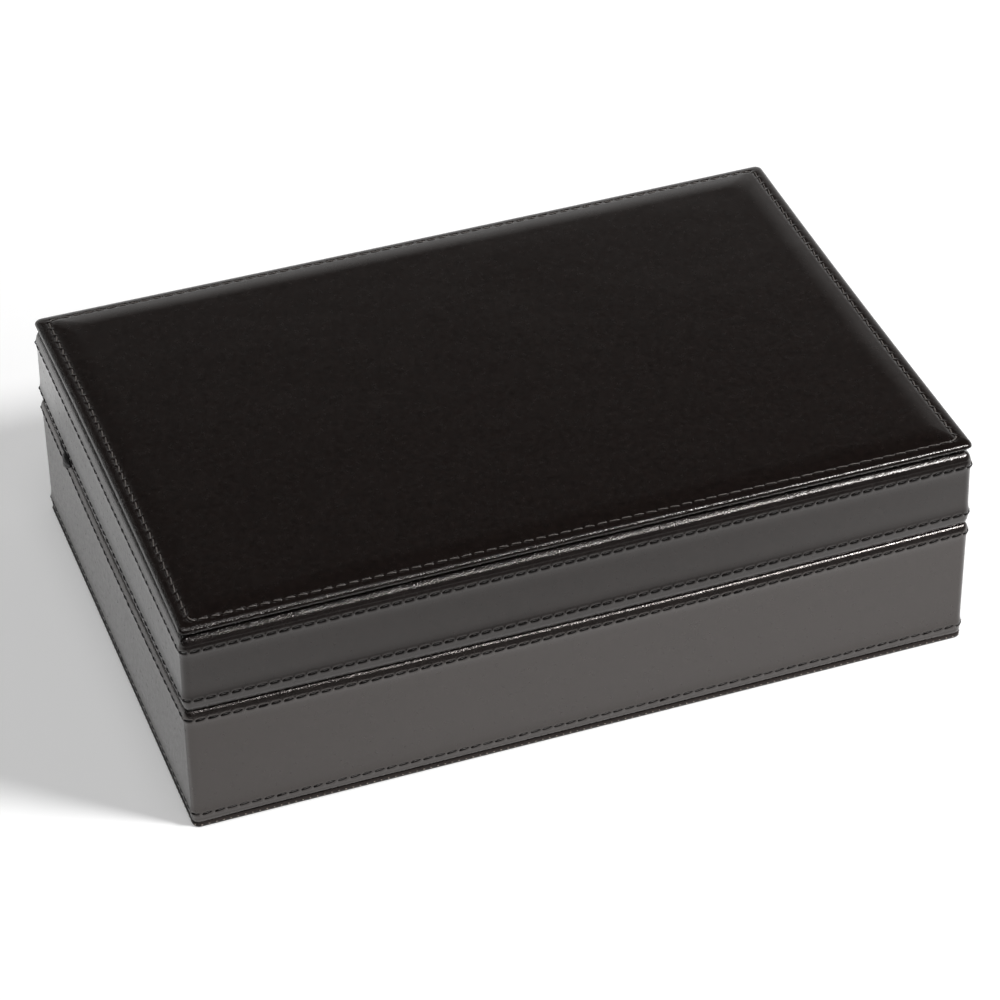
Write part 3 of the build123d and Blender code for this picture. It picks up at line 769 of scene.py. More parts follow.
def base_profile():
    """(inset, height), from the foot up the wall, over the rim and down to the board."""
    rim = (BASE_RIM + LID_RIM - SEAM_SLIT) / 2
    foot = [(BOARD_FACE, FOOT_RISE), *marks(FOOT_RISE, (1.0, 0.08))]
    foot += marks(0, (0.55, 2.0), (0.22, 2.8))
    wall = wall_profile(BASE_ROWS, 2.9 * MM, rim - 1.7 * MM)
    roll = marks(rim, (0.2, -1.5), (0.36, -1.0), (0.68, -0.48), (1.15, -0.12), (1.9, 0))
    inner = [*lip(rim, -1), (INSIDE, BOARD_TOP), (BOARD_FACE, BOARD_TOP), (BOARD_FACE, 6 * MM)]
    return np.array([*curve_of(foot, 10), *wall, *curve_of(roll, 14), *inner])


def lid_profile():
    """(inset, height), from under the lid's top down to the rim, up the wall and over the top."""
    rim, row = (BASE_RIM + LID_RIM + SEAM_SLIT) / 2, LID_ROWS[1]
    inner = [
        (20 * MM, TOP_BOARD_TOP),
        (BOARD_FACE + TOP_BOARD_ROUND, TOP_BOARD_TOP),
        (BOARD_FACE + 0.3 * TOP_BOARD_ROUND, TOP_BOARD_TOP - 0.3 * TOP_BOARD_ROUND),
        (BOARD_FACE, TOP_BOARD_TOP - TOP_BOARD_ROUND),
        (BOARD_FACE, LID_BOARD_BOTTOM),
        (INSIDE, LID_BOARD_BOTTOM),
        *reversed(lip(rim, 1)),
    ]
    roll = marks(rim, (1.9, 0), (1.25, 0.14), (0.9, 0.5), (0.6, 1.05), (0.3, 1.95))
    wall = wall_profile(LID_ROWS, rim + 2.2 * MM, row + 1.4 * MM)
    top = marks(row, (0.27, 1.7), (0.38, 2.3), (0.58, 2.85), (0.9, 3.42), (1.55, 3.9), (2.5, 4.4))
    top += marks(LID_TOP, (3.6, -0.2), (5.2, 0))
    return np.array([*inner, *curve_of(roll, 12), *wall, *curve_of(top, 22), (20 * MM, LID_TOP)])


def hinge_cutter():
    """Clearance for both hinges and for the stays, cut out of both coverings."""
    form = bmesh.new()
    leaves = frame["nodes"]["base_hinge_leaves"]
    xs = sorted({round(v.co.x, 5) for v in leaves.data.vertices})
    split = next(i for i, (a, b) in enumerate(zip(xs, xs[1:])) if b - a > 60 * MM)
    play = 0.25 * MM
    barrel = 2.45 * MM
    front = low("base_hinge_leaves", "y") - play
    for first, last in ((xs[0], xs[split]), (xs[split + 1], xs[-1])):
        first, last = first - 0.7 * MM, last + 0.7 * MM
        centre = (first + last) / 2
        turned = Matrix.Rotation(math.pi / 2, 4, "Y")
        turned = Matrix.Translation((centre, HINGE.y, HINGE.z)) @ turned
        ends = {"radius1": barrel, "radius2": barrel, "depth": last - first}
        bmesh.ops.create_cone(form, cap_ends=True, segments=32, matrix=turned, **ends)
        size = (last - first - 0.8 * MM, HINGE.y - front, 1.9 * MM)
        box(form, (centre, (HINGE.y + front) / 2, HINGE.z), size)
    for node, sign in (("left_lid_stay", -1), ("right_lid_stay", 1)):
        reach = INSIDE + 2 * MM
        x = sign * (LENGTH / 2 - 0.9 * MM - reach / 2)
        box(form, (x, middle(node, "y"), SEAM), (reach, span(node, "y") + play, 1.16 * MM))
    return from_form(form, "clearance")


def settle(piece, kind, **settings):
    """Changes a piece by one modifier, for good."""
    modifier = piece.modifiers.new("change", kind)
    for name, value in settings.items():
        setattr(modifier, name, value)
    graph = bpy.context.evaluated_depsgraph_get()
    mesh = bpy.data.meshes.new_from_object(piece.evaluated_get(graph))
    piece.modifiers.clear()
    old = piece.data
    piece.data = mesh
    bpy.data.meshes.remove(old)
    mesh.name = piece.name


def cut(piece, cutter):
    """Takes the cutter's shape out of a piece."""
    settle(piece, "BOOLEAN", object=cutter, operation="DIFFERENCE", solver="MANIFOLD")


def make_covering(name, profile, rows, closed, body, node):
    sizes = bpy.context.scene.stitch_sizes
    stitches = stitch_count(CASE, sizes.pitch)
    along = stations(CASE, stitches, 9)
    outer = profile[:, 0] < BOARD_FACE - 0.1 * MM
    push = 0
    for row in rows:
        push = push + row_push(CASE, along, profile[:, 1] - row, outer, stitches, sizes.groove)
    points, faces = sweep(CASE, along, profile, push, closed)
    points = points.reshape(len(along), len(profile), 3)
    if body == "base":
        lower_foot(points, along)
        lapped_edge(points, along)
    else:
        lean_in(points)
    points = bowed(points)
    roll = np.clip((profile[:, 0] - 0.32 * MM) / (0.4 * MM), 0, 1)
    to_row = np.min(np.abs(profile[:, 1][:, None] - np.array(rows)), axis=1)
    row = np.exp(-to_row / (0.5 * MM))
    rim = 0.35 * np.clip(1 - (np.abs(profile[:, 1] - SEAM) - 3 * MM) / MM, 0, 1)
    creased = creasing(np.maximum(np.maximum(roll, rim), 0.4 * row), points)
    points = points.reshape(-1, 3)
    piece = new_piece(name, points, faces, leatherette(body), sharp=50, pucker=creased)
    return ride_and_replace(piece, body, "leatherette", node)


def creasing(amount, points):
    """The folds are stretched smooth at the right end and creased at the left."""
    half = LENGTH / 2
    return amount * np.interp(points[..., 0], [-half, 0.2 * half, half], [1.0, 0.6, 0.35])


def lower_foot(points, along):
    """The folded corners of the base's covering reach lower than its sides."""
    corners = CASE.corner_starts() + CASE.parts[1] / 2
    half = CASE.total / 2
    gap = np.abs((along[:, None] - corners + half) % CASE.total - half).min(axis=1)
    drop = 0.85 * MM * np.exp(-((gap / (11 * MM)) ** 2))
    share = np.clip((3 * MM - points[:, :, 2]) / (3 * MM - FOOT_RISE), 0, 1)
    points[:, :, 2] -= drop[:, None] * share


def lapped_edge(points, along):
    """The covering's end overlaps its start just behind the front left corner."""
    start = CASE.starts[7] - 1.3 * MM
    step = 0.5 + 0.5 * np.tanh((along - start) / (0.12 * MM))
    fade = np.clip((CASE.total - along) / (1.2 * MM), 0, 1)
    left = points[:, :, 0] < -LENGTH / 2 + BOARD_FACE - 0.2 * MM
    left &= points[:, :, 2] < BASE_RIM - 2 * MM
    points[:, :, 0] -= np.where(left, (0.12 * MM * step * fade)[:, None], 0)


def lean_in(points):
    """The lid's walls lean in slightly towards its top."""
    share = np.clip((points[:, :, 2] - LID_RIM) / (LID_TOP - LID_RIM), 0, 1)
    for axis, half in ((0, LENGTH / 2), (1, DEPTH / 2)):
        points[:, :, axis] *= 1 - share * LID_LEAN / half


class CASE_OT_coverings(bpy.types.Operator):
    """Wraps the base and the lid in leatherette, with rolled edges and puckered rows"""

    bl_idname = "case.coverings"
    bl_label = "Leatherette coverings"

    def execute(self, context):
        make_covering("base_covering", base_profile(), BASE_ROWS, True, "base", "base_leatherette")
        make_covering("lid_covering", lid_profile(), LID_ROWS, False, "lid", "lid_leatherette")
        cutter = hinge_cutter()
        for name in ("base_covering", "lid_covering"):
            cut(bpy.data.objects[name], cutter)
        bpy.data.objects.remove(cutter)
        return {"FINISHED"}


# ---- The padded plate ----


def plate_profile():
    """(inset, height), from the skin's inner middle round the plate's edge to its top middle."""
    rim, row, board_edge = LID_TOP + PLATE_EDGE, PLATE_SEWN, PLATE_FOOT + 0.4 * MM
    inside = marks(PLATE_TOP - SKIN, (76, 0), (26, 0), (16, -0.02), (11, -0.15))
    inside += [(row + PLATE_BAND, PLATE_BOARD_TOP), (board_edge, PLATE_BOARD_TOP)]
    inside.append((board_edge, LID_TOP))
    edge = [(PLATE_FOOT, LID_TOP), *marks(LID_TOP, (1.2, 0.3), (0.5, 0.85), (0.1, 1.45))]
    edge += marks(rim, (0, -1.4), (0.12, -0.92), (0.45, -0.48), (0.95, -0.21), (1.6, -0.07))
    sewn = rim + PLATE_BORDER
    edge.append((row - PLATE_BAND, sewn - PLATE_BAND * PLATE_TILT))
    channel = []
    for across in np.linspace(-0.7, 0.7, 9) * MM:
        pressed = 0.05 * MM * math.exp(-((across / (0.6 * MM)) ** 2))
        channel.append((row + across, sewn + PLATE_TILT * across - pressed))
    start, slope = sewn + PLATE_BAND * PLATE_TILT, 0.15
    rise = PLATE_TOP - start
    crown = []
    for share in np.linspace(0, 1, 14):
        inset = row + PLATE_BAND + 2 * rise / slope * share
        crown.append((inset, start + rise * (2 * share - share**2)))
    middle_rings = [(inset * MM, PLATE_TOP) for inset in (20, 28, 37, 48, 62, 74, 76)]
    return np.array([*inside, *curve_of(edge, 34), *channel, *crown, *middle_rings])


class CASE_OT_plate(bpy.types.Operator):
    """Makes the padded plate on the lid, with its sewn channel and soft crown"""

    bl_idname = "case.plate"
    bl_label = "Padded plate"

    def execute(self, context):
        sizes = context.scene.stitch_sizes
        stitches = plate_stitches(sizes)
        profile = plate_profile()
        along = stations(PLATE, stitches, 8)
        upper = profile[:, 1] > LID_TOP + PLATE_EDGE - 0.6 * MM
        across = profile[:, 0] - PLATE_SEWN
        push = row_push(PLATE, along, across, upper, stitches, 0.6 * sizes.groove)
        points, faces = sweep(PLATE, along, profile, push, False)
        points = drawn_in(points)
        for point in points:
            if point[2] > LID_TOP + PLATE_EDGE + PLATE_BORDER:
                calm = min(1.0, (PLATE_DEPTH / 2 - abs(point[1])) / (12 * MM))
                point[2] += 0.05 * MM * calm * noise.noise(Vector(point) / (28 * MM))
        edge = np.clip(1.5 - profile[:, 0] / (1.2 * MM), 0, 1)
        row = 0.6 * np.exp(-((across / (1.2 * MM)) ** 2))
        creased = np.where(upper, np.maximum(edge, row), edge)
        creased = creasing(creased, points.reshape(len(along), len(profile), 3))
        skin = leatherette("plate")
        piece = new_piece("top_plate_cover", points, faces, skin, sharp=50, pucker=creased)
        ride_and_replace(piece, "lid", "leatherette", "top_plate_leatherette")
        return {"FINISHED"}


def plate_stitches(sizes):
    """Number of stitches round the plate, whose row is shorter than its edge."""
    length = 2 * (PLATE_LENGTH + PLATE_DEPTH - 4 * PLATE_SEWN) - 2 * PLATE_CORNER
    return round(length / sizes.pitch)


class CASE_OT_stitching(bpy.types.Operator):
    """Sews the four rows round the walls and the one round the plate, stitch by stitch"""

    bl_idname = "case.stitching"
    bl_label = "Stitching"

    def execute(self, context):
        sizes = context.scene.stitch_sizes
        palette = context.scene.case_colours
        count = stitch_count(CASE, sizes.pitch)
        twisted = thread(palette.thread, "twisted", 0.1)
        for body, rows in (("base", BASE_ROWS), ("lid", LID_ROWS)):
            for level, row in zip(("lower", "upper"), rows):
                name = f"{body}_{level}_stitches"
                lean = LID_LEAN * max(0.0, (row - LID_RIM) / (LID_TOP - LID_RIM))
                weight = 0.75 if name == "base_lower_stitches" else 1.0
                piece = stitches_round(
                    name, CASE, lean, row, count, sizes, twisted, bowed, weight=weight
                )
                ride_and_replace(piece, body, "thread", f"{body}_{level}_stitching")
        name, seat = "top_plate_stitches", LID_TOP + PLATE_EDGE + PLATE_BORDER - 0.12 * MM
        # The plate's thread gets a pale colour, a painted glint, as well as the real gloss of its
        # waxed finish
        count, waxed = plate_stitches(sizes), thread(palette.plate_thread_glint_tone, "waxed", 0.5)
        piece = stitches_round(
            name, PLATE, PLATE_SEWN, seat, count, sizes, waxed, drawn_in, up=True
        )
        ride_and_replace(piece, "lid", "thread", "top_plate_stitching")
        return {"FINISHED"}


# ---- Boards, linings and trays ----


def rounded_copy(node, name, radius, material, slot):
    """A piece with a node's own form, its flat faces joined again and its edges rounded."""
    source = frame["nodes"][node]
    form = bmesh.new()
    form.from_mesh(source.data)
    bmesh.ops.remove_doubles(form, verts=form.verts, dist=0.001 * MM)
    flat = math.radians(1)
    bmesh.ops.dissolve_limit(form, angle_limit=flat, verts=form.verts, edges=form.edges)
    edges = [e for e in form.edges if e.is_manifold and e.calc_face_angle(0) > math.radians(30)]
    shape = {"segments": 3, "profile": 0.5, "affect": "EDGES", "clamp_overlap": True}
    bmesh.ops.bevel(form, geom=edges, offset=radius, **shape)
    piece = from_form(form, name, material, sharp=50)
    return ride_and_replace(piece, source["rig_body"], slot, node)


def finish_node(node, material):
    """Gives a CAD node whose own form is right its material."""
    target = frame["nodes"][node]
    if not target.data.materials:
        target.data.materials.append(None)
    for slot in target.material_slots:
        slot.material = material


class CASE_OT_boards(bpy.types.Operator):
    """Finishes the wall, floor and top boards and the plate's board and foam"""

    bl_idname = "case.boards"
    bl_label = "Boards and foam"

    def execute(self, context):
        raw = board(context.scene.case_colours.fibreboard, "fibreboard_pressed")
        grey = board(linear("#8d877c"), "greyboard_rolled")
        for node in sorted(frame["nodes"]):
            if node.endswith("_board") and node not in ("top_plate_board", "lid_top_board"):
                finish_node(node, raw)
        rounded_copy("lid_top_board", "lid_top_board_rounded", TOP_BOARD_ROUND, raw, "mdf")
        name = "top_plate_board_trimmed"
        plate = rounded_copy("top_plate_board", name, 0.15 * MM, grey, "greyboard")
        trim = PLATE_FOOT + 0.5 * MM - PLATE_BOARD_INSET
        for vertex in plate.data.vertices:
            vertex.co.x -= math.copysign(trim, vertex.co.x)
            vertex.co.y -= math.copysign(trim, vertex.co.y)
        foam = rounded_copy(
            "top_plate_foam", "top_plate_padding", 0.2 * MM, foam_cells(), "foam"
        )
        return {"FINISHED"}


class CASE_OT_linings(bpy.types.Operator):
    """Wraps the linings and every part of the trays in velvet"""

    bl_idname = "case.linings"
    bl_label = "Linings and trays"

    def execute(self, context):
        pile = velvet(context.scene.case_colours.velvet)
        radius = context.scene.case_shapes.edge_round
        for node in sorted(frame["nodes"]):
            if node.endswith(("_lining", "_velvet_floor")):
                rounded_copy(node, f"{node}_velvet", 0.25 * MM, pile, "velvet")
            elif "_tray_" in node and not node.endswith("_pull_ribbons"):
                rounded_copy(node, f"{node}_wrapped", radius, pile, "velvet")
        return {"FINISHED"}


def plump(piece, pressure, cap):
    """Inflates a closed pad as cloth under air pressure. Its top stays flat on its board, its
    sides are drawn out again to fill its outline, and no point moves further than cap."""
    outline = np.array([piece.dimensions.x, piece.dimensions.y]) / 2
    settle(piece, "REMESH", mode="VOXEL", voxel_size=4.5 * MM)
    start = np.array([v.co for v in piece.data.vertices])
    cloth = piece.modifiers.new("air", "CLOTH")
    cloth.settings.use_pressure = True
    cloth.settings.uniform_pressure_force = pressure
    cloth.settings.effector_weights.gravity = 0
    cloth.settings.quality = 6
    for frame_number in range(1, CUSHION_FRAMES + 1):
        bpy.context.scene.frame_set(frame_number)
    swollen = piece.evaluated_get(bpy.context.evaluated_depsgraph_get()).data
    move = np.array([v.co for v in swollen.vertices]) - start
    piece.modifiers.clear()
    bpy.context.scene.frame_set(1)
    move[:, :2] *= 0.12  # the stretched satin holds the pad's sides
    reach = np.linalg.norm(move, axis=1, keepdims=True)
    end = start + move * np.minimum(1, cap / np.maximum(reach, 1e-9))
    end[:, :2] *= outline / np.abs(end[:, :2]).max(axis=0)
    end[:, 2] = np.minimum(end[:, 2], start[:, 2].max())
    for vertex, place in zip(piece.data.vertices, end):
        vertex.co = place
    settle(piece, "SUBSURF", levels=1)
    piece.data.shade_smooth()


class CASE_OT_cushion(bpy.types.Operator):
    """Plumps the satin cushion inside the lid by cloth simulation"""

    bl_idname = "case.cushion"
    bl_label = "Lid cushion"

    def execute(self, context):
        fabric = satin(context.scene.case_colours.satin)
        piece = rounded_copy("lid_cushion", "lid_cushion_satin", 0.5 * MM, fabric, "satin")
        plump(piece, context.scene.case_shapes.cushion_plump, 4.5 * MM)
        return {"FINISHED"}


class CASE_OT_felt(bpy.types.Operator):
    """Makes the felt panel under the base, sewn along its edge"""

    bl_idname = "case.felt"
    bl_label = "Felt panel"

    def execute(self, context):
        edge = FELT_INSET
        profile = [
            (edge + 6 * MM, 0.0),
            (edge + 0.3 * MM, 0.0),
            (edge, 0.25 * MM),
            (edge - 0.05 * MM, FOOT_RISE / 2),
            (edge, FOOT_RISE - 0.2 * MM),
            (edge + 0.25 * MM, FOOT_RISE - 0.02 * MM),
        ]
        profile = np.array(profile)
        along = stations(CASE, 180, 2)
        points, faces = sweep(CASE, along, profile, np.zeros((len(along), len(profile))), False)
        fabric = felt(context.scene.case_colours.felt)
        piece = new_piece("base_bottom_felt", points, faces, fabric, sharp=60)
        ride_and_replace(piece, "base", "felt", "base_bottom_cover")
        dots = edge_dots(edge - 0.12 * MM, FOOT_RISE * 0.55)
        ride_and_replace(dots, "base", "thread")
        return {"FINISHED"}


def edge_dots(inset, height):
    """Small pale stitches along the felt panel's edge."""
    form = bmesh.new()
    count = round(CASE.total / (2.15 * MM))
    for x, y in CASE.points(np.arange(count) * CASE.total / count, inset):
        spot = Matrix.Translation((x, y, height))
        bmesh.ops.create_icosphere(form, subdivisions=1, radius=0.22 * MM, matrix=spot)
    return from_form(form, "base_bottom_stitches", pale_thread())


# ---- Ribbons ----


def band(name, route, width_middle, width, thickness, material):
    """A thin flat ribbon along a route, its width along Y, with square edges."""
    route = np.array(route, float)
    step = np.gradient(route, axis=0)
    step /= np.linalg.norm(step, axis=1, keepdims=True)
    across = np.array([0.0, 1.0, 0.0])
    out = np.cross(step, across)
    out /= np.linalg.norm(out, axis=1, keepdims=True)
    columns = np.linspace(-0.5, 0.5, 7) * width
    points = []
    for k in range(len(route)):
        for face in (-0.5, 0.5):
            for column in columns[:: 1 if face < 0 else -1]:
                place = route[k] + out[k] * face * thickness
                points.append(place + across * (column + width_middle - place[1]))
    per = 2 * len(columns)
    faces = tube_faces(0, len(route), per)
    faces.append(list(reversed(range(per))))
    faces.append([(len(route) - 1) * per + m for m in range(per)])
    piece = new_piece(name, points, faces, material, sharp=50)
    form = bmesh.new()
    form.from_mesh(piece.data)
    bmesh.ops.recalc_face_normals(form, faces=form.faces)
    form.to_mesh(piece.data)
    form.free()
    return piece


def straight(start, end, count):
    return [tuple(Vector(start).lerp(Vector(end), i / count)) for i in range(count + 1)]


def make_stay(side, fabric):
    """A stay's straight run inside the case, and the slack that hangs folded out of the seam."""
    node = f"{side}_lid_stay"
    sign = -1 if side == "left" else 1
    inner = high(node, "x") if sign < 0 else low(node, "x")
    x = inner + sign * 0.2 * MM
    y = middle(node, "y")
    width = span(node, "y")
    bottom, top = low(node, "z"), high(node, "z")
    route = straight((x, y, bottom), (x, y, top), 90)
    strip = band(f"{side}_stay_ribbon", route, y, width, STAY_THICKNESS, fabric)
    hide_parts(node)
    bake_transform(strip)
    near = sign * (LENGTH / 2 - 0.05 * MM)
    depth, droop, slit = sign * 1.35 * MM, 2.2 * MM, 0.28 * MM
    loop = [
        (near, SEAM - slit),
        (near + 0.45 * depth, SEAM - 0.5 * MM - 0.3 * droop),
        (near + 0.62 * depth, SEAM - 0.5 * MM - 0.8 * droop),
        (near + 0.85 * depth, SEAM - 0.6 * MM - droop),
        (near + depth, SEAM - 0.6 * MM - 0.75 * droop),
        (near + 0.98 * depth, SEAM - 0.3 * droop),
        (near + 0.8 * depth, SEAM + 0.25 * MM),
        (near + 0.4 * depth, SEAM + 0.55 * MM),
        (near, SEAM + slit),
    ]
    end = x + sign * 0.6 * MM
    smooth = [(end, SEAM - slit), *curve_of(loop, 34), (end, SEAM + slit)]
    route = [(a, y, c) for a, c in smooth]
    fold = band(f"{side}_stay_fold", route, y, width, STAY_THICKNESS, fabric)
    for vertex in fold.data.vertices:
        # 0 at the front edge, 1 where it lies flat
        share = ((vertex.co.y - y) / width + 0.5) / 0.62
        bulge = math.sin(math.pi * min(1.0, max(0.0, share)) ** 1.15) ** 0.8
        out = max(0.0, sign * (vertex.co.x - near))
        vertex.co.x -= sign * out * (1 - 0.15 - 0.85 * bulge)
        if out > 0:
            vertex.co.z = SEAM + (vertex.co.z - SEAM) * (0.2 + 0.8 * bulge)
            vertex.co.y -= 1.6 * MM * min(1.0, out / (0.5 * MM))
    ride_and_replace(fold, "base", "ribbon", node)
    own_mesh(fold)


def make_pulls(tray, fabric):
    """A tray's pulls: a ribbon up each end rail, over its top and down inside the tray."""
    node = f"{tray}_pull_ribbons"
    width = span(node, "y")
    outer = high(node, "x") - 0.2 * MM
    inner = outer - 0.7 * MM
    floor, top = low(node, "z"), high(node, "z") - 0.25 * MM
    bend = top - 0.1 * MM
    for side, sign in (("left", -1), ("right", 1)):
        route = straight((outer, 0, floor), (outer, 0, top - 0.4 * MM), 12)
        route += [(outer - 0.1 * MM, 0, bend), (outer - 0.35 * MM, 0, top)]
        route += [(inner + 0.1 * MM, 0, bend)]
        route += straight((inner, 0, top - 0.4 * MM), (inner - 0.9 * MM, 0, top - 9 * MM), 10)
        route = [(sign * a, b, c) for a, b, c in route]
        piece = band(f"{tray}_{side}_pull", route, 0.0, width, 0.3 * MM, fabric)
        ride_and_replace(piece, tray, "ribbon", node)


class CASE_OT_ribbons(bpy.types.Operator):
    """Makes both lid stays and the trays' pulls"""

    bl_idname = "case.ribbons"
    bl_label = "Ribbons"

    def execute(self, context):
        fabric = ribbon(context.scene.case_colours.ribbon)
        for side in ("left", "right"):
            make_stay(side, fabric)
        for tray in ("lower_tray", "upper_tray"):
            make_pulls(tray, fabric)
        return {"FINISHED"}


# ---- Hardware ----


def driven_screws(node, face, material):
    """A node's screws, with a cross for the driver cut into each head."""
    piece = rounded_copy(node, f"{node}_driven", 0.1 * MM, material, "hinge_brass")
    form = bmesh.new()
    form.from_mesh(piece.data)
    left, cutter = set(form.verts), bmesh.new()
    for vertex in form.verts:
        if vertex not in left:
            continue
        left.remove(vertex)
        screw, front = [], [vertex]
        while front:
            screw.append(front.pop())
            for edge in screw[-1].link_edges:
                other = edge.other_vert(screw[-1])
                if other in left:
                    left.remove(other)
                    front.append(other)
        heads = [v.co for v in screw if abs(v.co.z - face) < 0.6 * MM]
        centre = [(min(c[k] for c in heads) + max(c[k] for c in heads)) / 2 for k in (0, 1)]
        width = max(c.x for c in heads) - min(c.x for c in heads)
        for along, across in ((0.62, 0.14), (0.14, 0.6)):
            box(cutter, (*centre, face), (width * along, width * across, 0.7 * MM))
    form.free()
    driver = from_form(cutter, "driver")
    settings = {"operation": "DIFFERENCE", "solver": "EXACT", "use_self": True}
    settle(piece, "BOOLEAN", object=driver, **settings)
    bpy.data.objects.remove(driver)


class CASE_OT_hardware(bpy.types.Operator):
    """Finishes the hinges, screws, magnets and strike discs"""

    bl_idname = "case.hardware"
    bl_label = "Hinges and magnets"

    def execute(self, context):
        brass = metal("brass_rolled_tumbled", "#d2ba86", 0.32, 0.4 * MM)
        nickel = metal("nickel_plated", "#c8c5bf", 0.2, 0.3 * MM)
        for node in ("base_hinge_leaves", "lid_hinge_leaves", "hinge_pins"):
            finish_node(node, brass)
        driven_screws("base_hinge_screws", high("base_hinge_screws", "z"), brass)
        driven_screws("lid_hinge_screws", low("lid_hinge_screws", "z"), brass)
        for node in ("lid_magnets", "base_strike_discs"):
            finish_node(node, nickel)
        return {"FINISHED"}


# ---- Stage ----


def floor_material(colour):
    """A matt paper sweep. To the camera and in reflections it also glows a little, so that it
    shows white and still takes the case's shadow. In reflections it ends in front of the case,
    where the room is dark."""
    surface, tree, place = new_material("paper_sweep")
    path = add(tree, "LightPath").outputs
    camera, glossy = path["Is Camera Ray"], path["Is Glossy Ray"]
    seen = add(tree, "Math", (camera, glossy), operation="MAXIMUM")
    seen = add(tree, "Math", (seen, path["Is Transmission Ray"]), operation="MAXIMUM")
    away = add(tree, "VectorMath", (place,), operation="LENGTH").outputs["Value"]
    rearward = add(tree, "SeparateXYZ", (place,)).outputs["Y"]
    near = add(tree, "MapRange", (away, 0.45, 1.0, 0.24, 0.0))
    behind = add(tree, "MapRange", (rearward, 0.0, 0.65, 0.0, 1.0))
    level = add(tree, "Math", (near, behind), operation="MAXIMUM")
    ending = add(tree, "MapRange", (rearward, -0.36, -0.13, 0.04, 1.0))
    dim = add(tree, "MixRGB", (glossy, WHITE, ending))
    tone = add(tree, "MixRGB", (1.0, (*colour, 1), dim), blend_type="MULTIPLY")
    strength = add(tree, "Math", (seen, level), operation="MULTIPLY")
    distant = add(tree, "MapRange", (away, 0.5, 1.1, 0.0, 1.0))
    distant = add(tree, "Math", (camera, distant), operation="MULTIPLY")
    strength = add(tree, "Math", (strength, distant), operation="MAXIMUM")
    paper = add(tree, "BsdfDiffuse", {"Color": tone})
    glow = add(tree, "Emission", {"Color": dim, "Strength": strength})
    both = add(tree, "AddShader", (paper, glow))
    add(tree, "OutputMaterial", {"Surface": both})
    return surface


def light_world():
    """A studio: a pale backdrop behind the case and to its right, and dark elsewhere. The camera
    itself sees white all round."""
    world = bpy.data.worlds.new("studio")
    bpy.context.scene.world = world
    tree = empty_tree(world)
    direction = add(tree, "TexCoord").outputs["Generated"]
    parts = add(tree, "SeparateXYZ", (direction,)).outputs
    stops = [
        (0.0, (0.95, 0.95, 0.95)),
        (0.32, (0.9, 0.9, 0.9)),
        (0.46, (0.42, 0.41, 0.4)),
        (0.56, (0.028, 0.026, 0.025)),
        (1.0, (0.04, 0.04, 0.04)),
    ]
    pale = add(tree, "ValToRGB", (parts["Z"],), stops)
    behind = add(tree, "MapRange", (parts["Y"], -0.5, 0.2, 0.12, 1.0))
    rightward = add(tree, "MapRange", (parts["X"], -0.45, -0.05, 0.08, 1.0))
    reach = add(tree, "Math", (behind, rightward), operation="MULTIPLY")
    tone = add(tree, "MixRGB", (1.0, pale, reach), blend_type="MULTIPLY")
    seen = add(tree, "LightPath").outputs["Is Camera Ray"]
    tone = add(tree, "MixRGB", (seen, tone, WHITE))
    background = add(tree, "Background", {"Color": tone, "Strength": 1.0})
    add(tree, "OutputWorld", {"Surface": background})


def area_light(name, power, size, place):
    lamp = bpy.data.lights.new(name, "AREA")
    lamp.energy = power
    lamp.shape = "DISK"
    lamp.size = size
    light = placed(name, lamp)
    light.location = place
    light.rotation_mode = "QUATERNION"
    light.rotation_quaternion = (Vector(AIM) - Vector(place)).to_track_quat("-Z", "Y")


def place_camera(settings):
    """The photograph's view: a long lens from the left front, looking down."""
    a, e, r = settings.azimuth, settings.elevation, settings.roll
    forward = Vector((math.sin(a) * math.cos(e), math.cos(a) * math.cos(e), -math.sin(e)))
    level = Vector((math.cos(a), -math.sin(a), 0))
    upright = level.cross(forward)
    right = level * math.cos(r) + upright * math.sin(r)
    up = right.cross(forward)
    lens = bpy.data.cameras.new("view")
    lens.lens = settings.lens
    lens.sensor_width = 36
    camera = placed("view", lens)
    camera.rotation_mode = "QUATERNION"
    camera.rotation_quaternion = Matrix((right, up, -forward)).transposed().to_quaternion()
    camera.location = CAMERA_PLACE
    bpy.context.scene.camera = camera


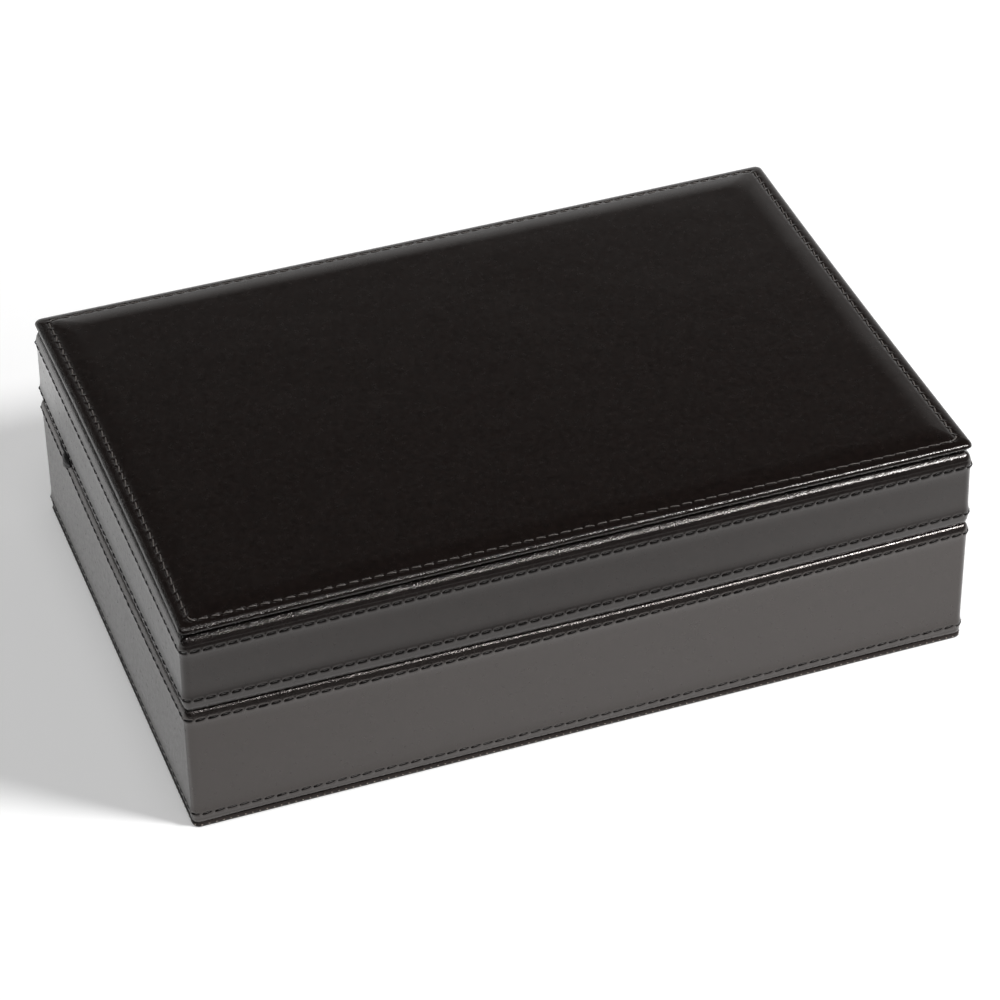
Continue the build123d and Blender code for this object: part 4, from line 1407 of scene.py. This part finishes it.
class CASE_OT_stage(bpy.types.Operator):
    """Sets up the floor, the soft studio light and the camera"""

    bl_idname = "case.stage"
    bl_label = "Stage"

    def execute(self, context):
        scene = context.scene
        settings = scene.stage_settings
        half = 3.0
        corners = [(-half, -half, 0), (half, -half, 0), (half, half, 0), (-half, half, 0)]
        paper = floor_material(scene.case_colours.floor)
        floor = new_piece("floor", corners, [(0, 1, 2, 3)], paper)
        floor.location.z = -0.05 * MM
        light_world()
        area_light("key", settings.key, 0.27, (0.6, -0.55, 0.88))
        area_light("overhead", settings.fill, 0.7, (-0.25, -0.15, 1.1))
        place_camera(settings)
        scene.view_settings.view_transform = "Standard"
        return {"FINISHED"}


class CASE_PT_panel(bpy.types.Panel):
    """Lists the case's pieces, sizes and colours"""

    bl_idname = "CASE_PT_panel"
    bl_label = "Coin Display Case"
    bl_space_type = "VIEW_3D"
    bl_region_type = "UI"
    bl_category = "Display Case"

    def draw(self, context):
        for operator in OPERATORS:
            self.layout.operator(operator.bl_idname)
        for holder in PROPERTY_HOLDERS:
            group = getattr(context.scene, holder)
            for name in group.bl_rna.properties.keys():
                if name not in ("rna_type", "name"):
                    self.layout.prop(group, name)


PROPERTY_HOLDERS = {
    "stitch_sizes": StitchSizes,
    "case_colours": CaseColours,
    "case_shapes": CaseShapes,
    "stage_settings": StageSettings,
}
OPERATORS = (
    CASE_OT_stage,
    CASE_OT_coverings,
    CASE_OT_plate,
    CASE_OT_stitching,
    CASE_OT_boards,
    CASE_OT_linings,
    CASE_OT_cushion,
    CASE_OT_felt,
    CASE_OT_ribbons,
    CASE_OT_hardware,
)


def register():
    for kind in (*PROPERTY_HOLDERS.values(), *OPERATORS, CASE_PT_panel):
        bpy.utils.register_class(kind)
    for holder, kind in PROPERTY_HOLDERS.items():
        setattr(bpy.types.Scene, holder, bpy.props.PointerProperty(type=kind))


def unregister():
    for holder in PROPERTY_HOLDERS:
        delattr(bpy.types.Scene, holder)
    for kind in (CASE_PT_panel, *reversed(OPERATORS), *PROPERTY_HOLDERS.values()):
        bpy.utils.unregister_class(kind)


def main():
    register()
    for operator in OPERATORS:
        group, name = operator.bl_idname.split(".")
        getattr(getattr(bpy.ops, group), name)()


if __name__ == "__main__":
    main()
